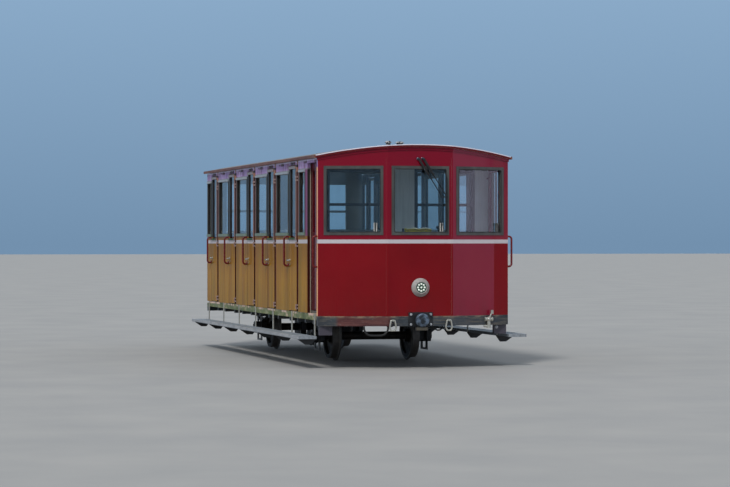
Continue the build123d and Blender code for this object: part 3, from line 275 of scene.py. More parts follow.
def boards(name, low, high, grain_axis, relief=0.0012, rough=(0.55, 0.8)):
    """Sawn timber, with its grain along an axis."""
    mat = Paint(name)
    grain = mat.noise(38, 7, tuple(0.05 if axis == grain_axis else 1.0 for axis in "XYZ"), 0.7)
    mat.colour = mat.span(grain, low, high)
    mat.set("Roughness", mat.span(grain, *reversed(rough)))
    mat.bump(grain, relief)
    return mat


PALE_BOARDS = (200, 199, 196), (224, 222, 218), "Z", 0.0004, (0.35, 0.5)
FORGED = {"metal": 0.3, "relief": 0.0008, "fine": 70}


def red_paint():
    """The faceted end, with a painted pinkish sheen of reflected sky on its right panel and its upper part;
    tan corner posts and pale inner faces.
    """
    mat = Paint("red_paint", specular=0.22)
    x, y, z = mat.x, mat.y, mat.z
    outside = mat.outwards()
    mat.colour = mat.span(mat.noise(1.3, 4, offset=1), (104, 5, 12), (116, 7, 17))
    # Painted reflection: a pinkish sheen of reflected sky laid over the right front panel
    sheen_on_right_panel = mat.where(mat.rise(y, CENTRE_HALF + 0.003, 0.004), mat.below(y, 0.989, 0.003))
    mat.cover((118, 16, 44), sheen_on_right_panel, mat.rise(x, FRONT_X), 0.75)
    # Painted reflection: the same pinkish sheen, at half strength, over everything above the stripe
    mat.cover((116, 16, 44), mat.rise(z, STRIPE[1]), 0.5)
    tan = mat.span(mat.noise(8, 4, (1, 1, 0.15)), (214, 150, 96), (228, 172, 122))
    tan = mat.mix(mat.rise(z, RAIL + 2.40, 0.01), tan, (140, 104, 156))
    corner = mat.rise(mat.off_side(), -0.0006, 0.0003), mat.below(x, FRONT_X + 0.001, 0.001)
    mat.cover(tan, *corner, outside)
    stripe(mat, outside)
    mat.cover((64, 22, 24), dirt(mat, 0.63, 0.95, 0.3))
    wall = mat.span(mat.noise(3, 4), (170, 164, 154), (190, 184, 174))
    mat.colour = mat.mix(outside, wall, mat.colour)
    mat.set("Roughness", mat.tones((0.3, 0.06), (0.75, 0.2), 4, 6, offset=4))
    mat.bump(mat.noise(1.9, 2, (1, 1, 0.6)), 0.010)
    mat.bump(mat.noise(150, 2), 0.00010)


def varnished_wood():
    """Boards and what the doors carry: hinge leaves, handle, sill and head bar, known by their place."""
    mat = Paint("varnished_wood", specular=0.02)
    z, off, along = mat.z, mat.off_side(), mat.along_bay()
    grain = mat.noise(30, 6, (1, 1, 0.03), 0.65)
    mat.colour = mat.ramp(grain, (0.28, (126, 86, 18)), (0.5, (155, 112, 28)), (0.72, (182, 141, 46)))
    mat.cover((132, 86, 12), mat.blots(0.42, 0.62, 0.6, 4.5, 3, (1, 1, 0.10), offset=2))
    streak = mat.noise(6, 3, (1, 1, 0.06), offset=6)
    mat.cover((100, 52, 18), mat.ramp(streak, (0.57, 0.0), (0.68, 0.75)))
    mat.cover((116, 102, 26), mat.blots(0.52, 0.70, 0.5, 3.1, 3, (1, 1, 0.2), offset=11))
    mat.cover((98, 82, 40), dirt(mat, 0.66, 1.1, 0.6))
    # Painted shade: the boards darken towards (108, 70, 18) from about 1.35 m up, with a streaky lower edge
    mat.cover((108, 70, 18), mat.rise(mat.calc("MULTIPLY_ADD", streak, 0.25, z), 1.35, 0.2), 0.5)
    at_window = mat.step(z, PANE_LOW - 0.045, DOOR_HEAD)
    wine = mat.tones((0.35, (96, 56, 62)), (0.65, (122, 80, 78)), 9, 4, (1, 1, 0.1), offset=4)
    mat.cover(wine, at_window, mat.step(along, POST - 0.105, DOOR_PANE[0] - 0.022, 0.004))
    mat.cover((118, 70, 104), at_window, mat.rise(mat.x, FRONT_X - 0.69))
    slate = mat.tones((0.35, (36, 42, 50)), (0.65, (60, 66, 70)), 7, 4, (1, 1, 0.2), offset=9)
    mat.cover(slate, at_window, mat.step(along, DOOR_PANE[1], PANEL_PANE))
    stripe(mat)
    door_edge = mat.mix(at_window, (52, 20, 18), (46, 44, 44))
    mat.cover(door_edge, mat.rise(mat.absolute(mat.facing("X")), 0.6, 0.1))
    mat.cover((142, 134, 122), mat.below(off, 0.012 - WALL))
    proud = mat.rise(off, 0.0055, 0.0008)
    mat.cover((126, 122, 128), proud, mat.rise(z, DOOR_HEAD))
    mat.cover((62, 84, 60), proud, mat.step(z, PANE_LOW - 0.092, PANE_LOW - 0.064, 0.001))
    handle = mat.where(proud, mat.step(along, *HANDLE, 0.001), mat.below(z, HANDLE_HIGH))
    mat.cover((178, 176, 172), handle)
    mat.cover((136, 112, 108), mat.below(along, 0.5 * BAY - 0.159, 0.001), mat.rise(off, 0.001, 0.0004))
    mat.set("Metallic", mat.where(handle, 0.9))
    mat.set("Roughness", mat.span(grain, 0.12, 0.3))
    mat.bump(grain, 0.0004)
    mat.bump(mat.noise(1.7, 2, (1, 1, 0.5)), 0.006)


def fascia_paint():
    """Purple boards over the windows, with stained patches, dark covers and a painted highlight along the top
    edge.
    """
    mat = plain("fascia_paint", (142, 112, 168), (186, 158, 206), (0.2, 0.35), 3.5, 4, (1, 1, 0.4),
                specular=0.05)
    z, off = mat.z, mat.off_side()
    mat.cover((106, 62, 88), mat.blots(0.52, 0.66, 0.75, 7, 5, (1, 1, 0.5), offset=8))
    mat.cover((126, 126, 132), mat.below(z, RAIL + 2.405, 0.004))
    covers = mat.calc("MAXIMUM", mat.near_bay(0.5 * BAY, 0.125), mat.near_bay(COVER, 0.085))
    mat.cover((84, 30, 42), covers, mat.step(z, COVER_Z - 0.019, COVER_Z + 0.019, 0.003), 0.85)
    # Painted highlight: a pale lit line along the fascia's top edge
    mat.cover((206, 200, 232), mat.rise(z, FASCIA_TOP - 0.018))
    mat.cover((140, 92, 74), mat.near_bay(POST, 0.036))
    mat.cover((66, 22, 28), mat.rise(off, 0.001, 0.0004))
    mat.cover((112, 104, 94), mat.below(off, 0.006 - WALL))


def wine_paint():
    """Side posts with their hinge leaves, and the cab doors deep in their recess."""
    mat = plain("wine_paint", (58, 10, 18), (84, 18, 30), (0.15, 0.35), 4, 4, (1, 1, 0.2), specular=0.08)
    z, off = mat.z, mat.off_side()
    mat.cover((54, 38, 34), dirt(mat, 0.66, 1.3, 0.6))
    mat.cover((122, 74, 62), mat.rise(z, PANE_LOW - 0.1, 0.01), mat.step(off, -0.012, 0.0008, 0.0004))
    proud = mat.rise(off, 0.0008, 0.0004)
    mat.cover((140, 116, 112), proud)
    mat.cover((146, 98, 70), proud, mat.rise(z, 2.36))
    mat.cover((42, 16, 20), proud, mat.rise(z, 2.46))
    cover_strip = mat.step(off, -0.0465, -0.0440, 0.0003), mat.rise(mat.x, FRONT_X - 0.6, 0.01)
    mat.cover((120, 92, 108), *cover_strip)
    mat.cover((112, 22, 42), mat.below(off, -WALL - 0.03))


def sill_paint():
    """Dark headstocks, scraped and reddish at the front, and pale green-grey weathered side sills."""
    mat = plain("sill_paint", (34, 39, 45), (62, 69, 76), (0.3, 0.55), 5, 6, (1, 1, 0.6), relief=0.001,
                fine=45, specular=0.3)
    x, y, z = mat.x, mat.y, mat.z
    front = mat.rise(x, FRONT_X + 0.03, 0.01)
    grain = mat.noise(26, 6, (0.12, 0.12, 1.6), 0.7, 1)
    mat.cover((88, 84, 78), mat.ramp(grain, (0.48, 0.0), (0.60, 0.8)))
    reddish = mat.ramp(grain, (0.35, (62, 28, 30)), (0.6, (92, 52, 50)))
    wash = mat.blots(0.30, 0.50, 0.9, 5, 5, (0.4, 0.4, 2.5), offset=1)
    mat.cover(reddish, wash, front, mat.step(y, -0.985, -0.37, 0.02))
    mat.cover((120, 112, 108), mat.blots(0.60, 0.68, 0.8, 24, 6, (1, 1, 5), 0.7, offset=4), front)
    worn = mat.blots(0.46, 0.62, 0.75, 19, 6, (0.4, 0.4, 2), 0.7, offset=12)
    mat.cover((150, 132, 108), worn, mat.rise(z, 0.618, 0.012), front)
    patch = mat.noise(4.2, 6, (1, 1, 2.2), 0.62, 9)
    stops = (0.40, (74, 82, 44)), (0.52, (112, 116, 70)), (0.60, (150, 146, 112)), (0.68, (196, 170, 152))
    moss = mat.blots(0.42, 0.6, 0.85, 17, 5, (1, 1, 1.5), offset=2)
    flake = mat.mix(moss, mat.ramp(patch, *stops), (78, 92, 36))
    peel = mat.blots(0.47, 0.53, 0.95, 6, 5, (1, 1, 1), 0.6, offset=14)
    flake = mat.mix(mat.where(mat.rise(z, 0.6345, 0.006), peel), flake, (206, 176, 164))
    at_side = mat.rise(mat.absolute(y), 1.13, 0.004), mat.below(x, FRONT_X - 0.1, 0.02)
    mat.cover(flake, *at_side, mat.rise(z, 0.575))
    mat.bump(patch, 0.002)


def roof_paint():
    """A grey roof with a red front edge, streaked side edges and a painted highlight along their tops."""
    mat = plain("roof_paint", (98, 98, 97), (124, 124, 122), (0.4, 0.6), 1.2, 6, (0.5, 2, 1), relief=0.0012,
                fine=30, specular=0.2)
    y, facing = mat.absolute(mat.y), mat.facing("Z")
    upright = mat.step(facing, -0.5, 0.5, 0.1)
    mat.cover((82, 76, 70), mat.blots(0.5, 0.75, 0.5, 7, 5, (3, 0.25, 1), offset=5))
    streaks = mat.tones((0.42, (104, 70, 52)), (0.58, (78, 62, 96)), 5, 4, (1, 1, 9), offset=6)
    mat.cover(streaks, mat.rise(y, ROOF_HALF - 0.006, 0.001))
    mat.cover((86, 9, 18), upright, mat.rise(mat.x, FRONT_X + 0.02, 0.004))
    # Painted highlight: a pale line along the tops of the upright edges, just under the arc
    arc = mat.calc("SQRT", mat.calc("SUBTRACT", ROOF_RADIUS ** 2, mat.where(y, y)))
    under_arc = mat.calc("SUBTRACT", mat.calc("ADD", arc, ROOF_Z - ROOF_RADIUS), mat.z)
    mat.cover((206, 206, 222), mat.below(under_arc, 0.011), upright)
    ceiling = mat.mix(mat.rise(y, SIDE, 0.001), (204, 197, 186), (86, 22, 30))
    mat.cover(ceiling, mat.below(facing, -0.5, 0.1))


def window_glass():
    mat = Paint("window_glass", Transmission_Weight=1.0, IOR=1.45)
    mat.colour = mat.span(mat.noise(2.5, 3), (228, 238, 240), (238, 246, 248))
    mat.set("Roughness", mat.blots(0.55, 0.95, 0.02, 6, 6, (1, 1, 0.4), offset=3))


def grey_frame():
    """Window frames, whose sills are pale green and whose heads are pale blue along the sides."""
    mat = plain("grey_frame", (56, 58, 60), (78, 80, 80), (0.3, 0.5), 8, 4, (1, 1, 0.3), specular=0.2)
    side = mat.rise(mat.off_side(), -0.001, 0.0005)
    mat.cover((142, 150, 160), side, mat.rise(mat.z, PANE_HIGH + 0.002, 0.001))
    mat.cover((100, 116, 102), side, mat.below(mat.z, PANE_LOW - 0.003, 0.001))


def lamp_face():
    """A dark green disc with pale, faintly lit lenses."""
    mat = Paint("lamp_face", Roughness=0.12, Coat_Weight=0.6, Emission_Strength=0.4)
    lens = mat.rise(mat.x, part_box("headlamp_face")[1].x - 0.0025, 0.0008)
    mat.colour = mat.span(mat.noise(60, 3), (16, 52, 34), (26, 70, 46))
    mat.cover((240, 246, 236), lens)
    mat.set("Emission Color", mat.mix(lens, (0, 0, 0, 1), (0.9, 1.0, 0.92, 1)))
    cells = mat.node("TexVoronoi", mat.place, feature="F1")
    cells.inputs["Scale"].default_value = 130
    mat.bump(cells.outputs["Distance"], 0.0015)


def worn_steel():
    """Dark rusty wheels, with a bright band where they run."""
    mat = plain("worn_steel", (24, 21, 19), (48, 40, 34), (0.45, 0.75), 9, 6, metal=0.3, relief=0.0012,
                fine=50)
    z = mat.calc("SUBTRACT", mat.z, AXLE_Z)
    away = (mat.absolute(mat.calc("SUBTRACT", mat.x, axle.x)) for axle in AXLES.values())
    near = mat.calc("MINIMUM", *away)
    radius = mat.calc("SQRT", mat.calc("ADD", mat.where(near, near), mat.where(z, z)))
    tread, wheel_y = 0.2835, 0.46
    bright = mat.where(mat.rise(radius, tread, 0.0015), mat.rise(mat.absolute(mat.y), wheel_y, 0.001))
    mat.cover((112, 108, 104), bright)
    mat.set("Metallic", mat.calc("MAXIMUM", mat.where(bright, 0.95), 0.3))


def seat_cloth():
    """Woven cloth with pale flecks."""
    mat = Paint("seat_cloth", Roughness=0.85, Sheen_Weight=0.3, Sheen_Roughness=0.4)
    threads = 1400.0
    x, y, z = (mat.calc("SINE", mat.where(axis, threads)) for axis in (mat.x, mat.y, mat.z))
    mat.colour = mat.span(mat.noise(3, 4), (72, 77, 100), (88, 93, 116))
    mat.cover((112, 104, 108), mat.blots(0.5, 0.62, 0.5, 220, 2))
    mat.bump(mat.calc("ADD", mat.where(x, y), mat.where(y, z)), 0.0002)


def fitting_steel():
    """Galvanised fittings, dark under the running boards and on the front's corner plates."""
    mat = plain("fitting_steel", (150, 149, 142), (190, 188, 178), (0.3, 0.5), 16, metal=0.6, relief=0.0005)
    y, z = mat.absolute(mat.y), mat.z
    hanger_y, hanger_top, plate_top = 1.18, 0.368, 0.5165
    low = mat.where(mat.rise(y, hanger_y, 0.001), mat.below(z, hanger_top))
    mat.cover((34, 33, 34), low)
    plate = mat.where(mat.step(y, 1.0, SIDE - 0.0005, 0.001), mat.below(z, plate_top, 0.001),
                      mat.rise(mat.x, FRONT_X - 0.09, 0.005))
    mat.cover((62, 58, 68), plate)
    mat.set("Metallic", mat.where(mat.calc("SUBTRACT", 1.0, mat.calc("MAXIMUM", low, plate)), 0.6))


def dark_plastic():
    """The cab's console, with a yellow rest under the front window."""
    mat = plain("dark_plastic", (34, 35, 38), (48, 49, 52), (0.35, 0.5), 20, 3, fine=400)
    rest = mat.rise(mat.z, FLOOR_Z + 0.9315, 0.001), mat.rise(mat.x, NOSE_X - 0.106, 0.001)
    mat.cover((196, 176, 40), *rest)


def gutter_paint():
    """Red-brown gutters and roof edges with a painted highlight on their upward faces, and metal vents on the
    roof mottled with painted highlights and shade.
    """
    mat = plain("gutter_paint", (84, 50, 48), (116, 78, 66), (0.35, 0.55), 7, 5, (0.3, 1, 1), specular=0.15)
    # Painted highlight: faces turned upwards are paler
    mat.cover((150, 132, 120), mat.rise(mat.facing("Z"), 0.6, 0.1))
    mat.cover((112, 12, 24), mat.rise(mat.x, FRONT_X + 0.035, 0.004))
    # Painted highlights and shade: the vents' metal in random silvery and dark patches
    vent_highlight_and_shade = mat.tones((0.44, (44, 44, 48)), (0.58, (168, 170, 176)), 26, 4, (1, 1, 2), offset=4)
    at_vents = mat.below(mat.absolute(mat.y), 0.5, 0.01), mat.below(mat.x, NOSE_X - 0.12, 0.01)
    mat.cover(vent_highlight_and_shade, *at_vents)


def partition_board():
    """Pale boards with a dark frame round each window."""
    mat = boards("partition_board", *PALE_BOARDS)
    frames_high = mat.step(mat.z, PANE_LOW - 0.040, PANE_HIGH + 0.040)
    mat.cover((44, 46, 52), mat.step(mat.absolute(mat.y), 0.170, 0.950), frames_high)


def coupler_steel():
    """Dark couplers whose buffer heads carry blue-grey patches of painted sky reflection."""
    mat = plain("coupler_steel", (22, 24, 28), (46, 46, 48), (0.25, 0.5), 11, 6, **FORGED)
    # Painted reflection: random blue-grey patches on the buffer heads stand in for the sky they reflect
    head = mat.tones((0.40, (34, 38, 44)), (0.60, (96, 112, 132)), 17, 5, offset=3)
    head = mat.mix(mat.below(mat.z, RAIL + 0.480, 0.004), head, (78, 73, 64))
    mat.cover(head, mat.rise(mat.absolute(mat.x), NOSE_X + 0.080, 0.001))


for make in (
    red_paint, varnished_wood, fascia_paint, wine_paint, sill_paint, roof_paint, window_glass, grey_frame,
    lamp_face, worn_steel, seat_cloth, fitting_steel, dark_plastic, gutter_paint, partition_board,
    coupler_steel,
):
    make()
boards("interior_board", *PALE_BOARDS)
boards("board_wood", (92, 99, 108), (138, 145, 153), "X", 0.0016)
plain("floor_board", (74, 70, 66), (96, 90, 84), (0.5, 0.7), 12, 6)
plain("lamp_metal", (146, 142, 140), (168, 163, 160), (0.25, 0.4), 14, 4, metal=0.2)
plain("black_metal", (20, 20, 22), (42, 39, 38), (0.3, 0.55), 11, 6, **FORGED)
plain("hose_rubber", (16, 16, 17), (28, 28, 29), (0.6, 0.75), 30, 3, fine=250)
plain("rail_paint", (80, 12, 16), (104, 24, 24), (0.2, 0.35), 12, 4, specular=0.3)
plain("bright_steel", (150, 150, 150), (190, 188, 184), (0.22, 0.4), 22, 4, metal=0.75)
plain("blue_steel", (58, 70, 84), (86, 100, 116), (0.2, 0.35), 18, 4, metal=0.6)
plain("pale_plastic", (196, 196, 192), (214, 214, 210), (0.3, 0.45), 20, 3, fine=300)
plain("lamp_lens", (226, 238, 228), (240, 248, 240), (0.05, 0.12), 60, 2, fine=300, Coat_Weight=0.5)
plain("yellow_card", (196, 170, 30), (216, 190, 48), (0.3, 0.5), 20, 3, fine=300)
plain("paper", (206, 204, 196), (224, 222, 214), (0.5, 0.7), 30, 4, fine=400)
plain("worn_edge", (134, 138, 144), (174, 176, 180), (0.3, 0.5), 14, 5, (0.3, 1, 1), metal=0.3)
for mat in PAINTS.values():
    mat.set("Base Color", mat.colour)

# The record's slots, but for two nodes with a look of their own
looks = {part["node"]: part["material_slot"] for part in frame["record"]["subparts"]}
looks.update(couplers="coupler_steel", cab_partition="partition_board")
for node, look in looks.items():
    materials = NODES[node].data.materials
    materials.clear()
    materials.append(PAINTS[look].material)


# How the meshes of the pieces made here are built
def circle(count, radius=1.0, start=0.0):
    """Points evenly round a flat circle."""
    angles = (start + 2 * math.pi * i / count for i in range(count))
    return [(radius * math.cos(angle), radius * math.sin(angle)) for angle in angles]


def upright(x, y, z, ring):
    """A flat ring's points set up across the coach."""
    return [(x, y + across, z + up) for across, up in ring]


def lengthwise(x, y, z, ring):
    """A flat ring's points set up along the coach."""
    return [(x + along, y, z + up) for along, up in ring]


def disc(centre, side, up, radius, sides):
    """Points round a circle that side and up span."""
    return [centre + (side * a + up * b) * radius for a, b in circle(sides)]


def eased(a, b, cut):
    """The corners of a rectangle of half sides a and b, each cut off."""
    return (
        (a, b - cut), (a - cut, b), (cut - a, b), (-a, b - cut),
        (-a, cut - b), (cut - a, -b), (a - cut, -b), (a, cut - b),
    )


SHAPES = []


class Shape:
    """A piece's points and faces, gathered from turned and swept forms; it is placed last."""

    def __init__(self, name, look, body="coach", smooth=40):
        self.facts = name, look, body, smooth
        self.points, self.faces = [], []
        SHAPES.append(self)

    def skin(self, rings, closed=False):
        """Faces between rings of equally many points, and over both ends or from the last to the first."""
        start, count = len(self.points), len(rings[0])
        for ring in rings:
            self.points.extend(Vector(point) for point in ring)
        for row in range(len(rings) if closed else len(rings) - 1):
            low, high = start + row * count, start + (row + 1) % len(rings) * count
            for i in range(count):
                j = (i + 1) % count
                self.faces.append((low + i, low + j, high + j, high + i))
        if not closed:
            last = start + (len(rings) - 1) * count
            self.faces.append(tuple(reversed(range(start, start + count))))
            self.faces.append(tuple(range(last, last + count)))

    def turned(self, centre, axis, profile, sides=12):
        """A form turned about an axis, from (distance along, radius) pairs."""
        axis = Vector(axis).normalized()
        side = axis.orthogonal().normalized()
        up = axis.cross(side)
        self.skin([disc(Vector(centre) + axis * along, side, up, radius, sides) for along, radius in profile])

    def tube(self, path, radius, sides=6, closed=False):
        """A round bar along a path."""
        path = [Vector(point) for point in path]
        rings, side = [], None
        for i, point in enumerate(path):
            before = path[i - 1] if i or closed else point
            after = path[(i + 1) % len(path)] if i < len(path) - 1 or closed else point
            along = (after - before).normalized()
            side = along.orthogonal() if side is None else side - along * side.dot(along)
            side = side.normalized()
            rings.append(disc(point, side, along.cross(side), radius, sides))
        self.skin(rings, closed)

    def bar(self, start, end, rows, out=Vector((1, 0, 0))):
        """A bar of eight-cornered section: rows are share of the way, half width and half depth."""
        start, end = Vector(start), Vector(end)
        wide = (end - start).normalized().cross(out)
        rings = []
        for share, a, b in rows:
            centre = start.lerp(end, share)
            rings.append([centre + wide * x + out * y for x, y in eased(a, b, min(a, b) * 0.5)])
        self.skin(rings)

    def screw(self, place, axis, radius=0.006, rise=0.003):
        """A raised screw head."""
        sunk = 0.001
        base = Vector(place) - Vector(axis) * sunk
        self.turned(base, axis, ((0, radius), (sunk + rise * 0.4, radius), (sunk + rise, radius * 0.55)), 8)

    def bolt(self, place, axis, radius, rise):
        """A washer and a six-sided head on it."""
        washer = radius * 1.45
        self.turned(place, axis, ((0, washer), (rise * 0.22, washer), (rise * 0.3, washer * 0.94)), 16)
        head = Vector(place) + Vector(axis) * rise * 0.25
        self.turned(head, axis, ((0, radius), (rise * 0.6, radius), (rise * 0.75, radius * 0.86)), 6)

    def made(self):
        name, *facts = self.facts
        mesh = bpy.data.meshes.new(name)
        mesh.from_pydata(self.points, [], self.faces)
        mesh.validate()
        mesh.update()
        placed(name, mesh, *facts)


def linked(name, data):
    """A new object in the scene."""
    thing = bpy.data.objects.new(name, data)
    SCENE.collection.objects.link(thing)
    return thing


def placed(name, mesh, look, body="coach", smooth=None):
    """A piece that rides on a body; faces meeting under a sharper angle than smooth keep their edge."""
    piece = linked(name, mesh)
    if not mesh.materials:
        mesh.materials.append(PAINTS[look].material)
    mesh.shade_smooth()
    if smooth:
        mesh.set_sharp_from_angle(angle=math.radians(smooth))
    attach(piece, body)
    return piece


# Bench cushions
SEAT_DEEP, SEAT_THICK, BACK_THICK = 0.41, 0.07, 0.06
SECTIONS = 8


def pad_mesh(name, size, counts):
    """A box of evenly spaced faces, and the points on its seams: its edges and its sewn channels."""
    places = [[-size[k] / 2 + size[k] * i / counts[k] for i in range(counts[k] + 1)] for k in range(3)]
    numbers, faces = {}, []
    for k in range(3):
        a, b = (k + 1) % 3, (k + 2) % 3
        for end in (0, counts[k]):
            for i in range(counts[a]):
                for j in range(counts[b]):
                    face = []
                    for di, dj in ((0, 0), (1, 0), (1, 1), (0, 1)):
                        key = [0, 0, 0]
                        key[k], key[a], key[b] = end, i + di, j + dj
                        face.append(numbers.setdefault(tuple(key), len(numbers)))
                    faces.append(face if end else face[::-1])
    mesh = bpy.data.meshes.new(name)
    mesh.from_pydata([[places[k][key[k]] for k in range(3)] for key in numbers], [], faces)
    step = counts[1] // SECTIONS
    channels = range(step, counts[1], step)
    sewn = []
    for key, number in numbers.items():
        edges = sum(key[k] in (0, counts[k]) for k in range(3))
        if edges >= 2 or key[1] in channels:
            sewn.append(number)
    return mesh, sewn


def blown(mesh, sewn, pressure=4.0, frames=20, cap=0.011):
    """Blows up the pad's cover by cloth simulation; seams are held, and no point moves further than cap."""
    pad = linked("pad_" + mesh.name, mesh)
    pad.vertex_groups.new(name="sewn").add(sewn, 1.0, "REPLACE")
    cover = pad.modifiers.new("cover", "CLOTH")
    for key, value in dict(
        vertex_group_mass="sewn", use_pressure=True, uniform_pressure_force=pressure, tension_stiffness=6,
        compression_stiffness=6, bending_stiffness=0.4, quality=4,
    ).items():
        setattr(cover.settings, key, value)
    cover.settings.effector_weights.gravity = 0
    cover.collision_settings.use_collision = False
    cover.point_cache.frame_start, cover.point_cache.frame_end = 1, frames
    for frame_number in range(1, frames + 1):
        SCENE.frame_set(frame_number)
    posed = pad.evaluated_get(bpy.context.evaluated_depsgraph_get()).to_mesh()
    for start, end in zip(mesh.vertices, posed.vertices):
        move = end.co - start.co
        if move.length > cap:
            move = move.normalized() * cap
        start.co += move
    bpy.data.objects.remove(pad)
    SCENE.frame_set(1)


def pull_in(mesh, size, deep, depth=0.004):
    """Draws the long sides in between the channels, so that each section's edges curve."""
    for vertex in mesh.vertices:
        along = (vertex.co.y / size[1] + 0.5) * SECTIONS
        reach = vertex.co[deep] / (size[deep] / 2)
        vertex.co[deep] -= depth * reach * abs(reach) * math.sin(math.pi * along) ** 2


def cushions():
    """A seat and a back cushion on each side of the benches, and the piping on their edges."""
    low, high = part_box("bench_cushions")
    wide, seat_top = high.y - low.y, low.z + SEAT_THICK
    back_high = high.z - low.z - SEAT_THICK
    inset, gap = 0.010, 0.012
    kinds = (
        # its size, the faces along each axis, the axis it is deep along, and its middle's height
        ("seat", (SEAT_DEEP, wide, SEAT_THICK), (14, 88, 3), 0, low.z + SEAT_THICK / 2),
        ("back", (BACK_THICK, wide, back_high), (3, 88, 16), 2, seat_top + back_high / 2),
    )
    meshes = {}
    for name, size, counts, deep, _ in kinds:
        size = [length - inset for length in size]
        meshes[name], sewn = pad_mesh(name, size, counts)
        blown(meshes[name], sewn)
        pull_in(meshes[name], size, deep)
    rows = []
    for bay, centre in enumerate(each_bay(FRONT_X - DOOR_1)):
        rows.append((centre + BAY / 2 - gap if bay else high.x, -1))
        rows.append((centre - BAY / 2 + gap if bay < BAYS - 1 else low.x, 1))
    piping, half = Shape("seat_piping", "hose_rubber"), wide / 2 - 0.02
    for number, (plane, way) in enumerate(rows, 1):
        for out, z in ((SEAT_DEEP - 0.004, seat_top - 0.005), (BACK_THICK - 0.006, high.z - 0.006)):
            piping.tube([(plane + way * out, y, z) for y in (-half, half)], 0.004)
        for name, size, _, _, z in kinds:
            piece = placed(f"{name}_cushion_{number}", meshes[name], "seat_cloth")
            piece.location = (plane + way * size[0] / 2, 0, z)
            piece.rotation_euler = (0, 0, 0 if way > 0 else math.pi)
            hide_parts("bench_cushions")


# Fittings on the front
AHEAD = (1, 0, 0)
FRAME_HALF, FRAME_EDGE, FRAME_SHIFT = 0.3595, 0.040, 0.010
FRAME_LOW, FRAME_HIGH = PANE_LOW - 0.038, PANE_HIGH + 0.053


def on_panel(side, out, across, z):
    """A point on a front panel: out from it, across it from its window's middle, and at a height."""
    turn = side * FACE_ANGLE
    across -= side * FRAME_SHIFT
    x = (FRONT_X + NOSE_X) / 2 if side else NOSE_X
    y = side * (SIDE + CENTRE_HALF) / 2
    x += out * math.cos(turn) - across * math.sin(turn)
    y += out * math.sin(turn) + across * math.cos(turn)
    return Vector((x, y, z))


def frame_ring(side, out, inset, corner=0.012):
    """A rounded rectangle inside a front window frame's outer edge."""
    half, low, high = FRAME_HALF - inset - corner, FRAME_LOW + inset + corner, FRAME_HIGH - inset - corner
    points = []
    for y, z, start in ((half, high, 0), (-half, high, 90), (-half, low, 180), (half, low, 270)):
        for step in range(4):
            angle = math.radians(start + 30 * step)
            points.append(on_panel(side, out, y + corner * math.cos(angle), z + corner * math.sin(angle)))
    return points


def front_fittings():
    """Gaskets and screws on the front window frames, and outlines of two windows' latches."""
    gaskets = Shape("front_gaskets", "hose_rubber")
    screws = Shape("front_screws", "grey_frame")
    outlines = Shape("latch_outlines", "pale_plastic")
    low, high = FRAME_LOW + FRAME_EDGE / 2, FRAME_HIGH - FRAME_EDGE / 2
    reach = FRAME_HALF - FRAME_EDGE / 2
    places = [(y, z) for y in (-reach, reach) for z in (low, (low + high) / 2, high)]
    places += [(y, z) for y in (-0.12, 0.12) for z in (low, high)]
    for side in (-1, 0, 1):
        gaskets.tube(frame_ring(side, 0.0065, FRAME_EDGE - 0.003), 0.005, closed=True)
        axis = (math.cos(side * FACE_ANGLE), math.sin(side * FACE_ANGLE), 0)
        for y, z in places:
            screws.screw(on_panel(side, 0.008, y, z), axis)
    far, near = FRAME_HALF - 0.080, FRAME_HALF - 0.112
    low, high = FRAME_LOW + FRAME_EDGE + 0.004, FRAME_LOW + FRAME_EDGE + 0.106
    for side in (-1, 0):
        corners = ((near, low), (far, low), (far, high), (near, high))
        outlines.tube([on_panel(side, 0.0045, y, z) for y, z in corners], 0.0045, closed=True)


def headlamp_lenses():
    """Nine domes on the lamp's face, and a thin ring and four screws round them."""
    face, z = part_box("headlamp_face")[1].x, middle("headlamp_bezel").z
    dome = ((0, 0.0126), (0.002, 0.0120), (0.0034, 0.0095), (0.0044, 0.0055), (0.0048, 0.0015))
    lenses = Shape("headlamp_lenses", "lamp_lens", smooth=60)
    trim = Shape("headlamp_trim", "bright_steel")
    for place in upright(face - 0.0015, 0, z, [(0, 0), *circle(8, 0.042)]):
        lenses.turned(place, AHEAD, dome, 16)
    trim.tube(upright(face - 0.001, 0, z, circle(32, 0.067)), 0.003, closed=True)
    for place in upright(face + 0.004, 0, z, circle(4, 0.092, 0.78)):
        trim.screw(place, AHEAD, 0.005, 0.002)


def wiper_parts():
    """Bevelled skins over the wiper's two arms, its blade, rubber and claws, and caps on its pivots."""
    arm_x, pivot_z, link_z, reach = NOSE_X + 0.038, RAIL + 2.498, PANE_HIGH - 0.320, 0.294
    arm = (
        (0.0, 0.012, 0.008), (0.04, 0.0155, 0.0095), (0.30, 0.0135, 0.009), (0.42, 0.010, 0.008),
        (0.45, 0.006, 0.006),
    )
    washer = (0, 0.019), (0.004, 0.019), (0.007, 0.0145), (0.012, 0.0145)
    nut = (0, 0.009), (0.007, 0.009), (0.010, 0.006)
    arms, caps = Shape("wiper_arms", "black_metal"), Shape("wiper_pivots", "blue_steel")
    for y in (-0.030, 0.030):
        arms.bar((arm_x, y, pivot_z), (arm_x, y + reach, link_z), arm)
        caps.turned((NOSE_X, y, pivot_z), AHEAD, washer, 16)
        caps.turned((arm_x + 0.006, y, pivot_z), AHEAD, nut, 6)
    blade = (
        (0.0, 0.0085, 0.003), (0.05, 0.0095, 0.005), (0.5, 0.0105, 0.008), (0.95, 0.0095, 0.005),
        (1.0, 0.0085, 0.003),
    )
    rubber, claw = ((0, 0.002, 0.003), (1, 0.002, 0.003)), ((0, 0.009, 0.014), (1, 0.009, 0.014))
    blade_y, low, high = 0.318, PANE_LOW + 0.020, PANE_HIGH - 0.060
    parts = [(0.036, low, high, blade), (0.0135, low, high, rubber)]
    for share in (0.1, 0.35, 0.65, 0.9):
        z = low + (high - low) * share
        parts.append((0.028, z - 0.010, z + 0.010, claw))
    for out, start, end, rows in parts:
        arms.bar((NOSE_X + out, blade_y, start), (NOSE_X + out, blade_y, end), rows)


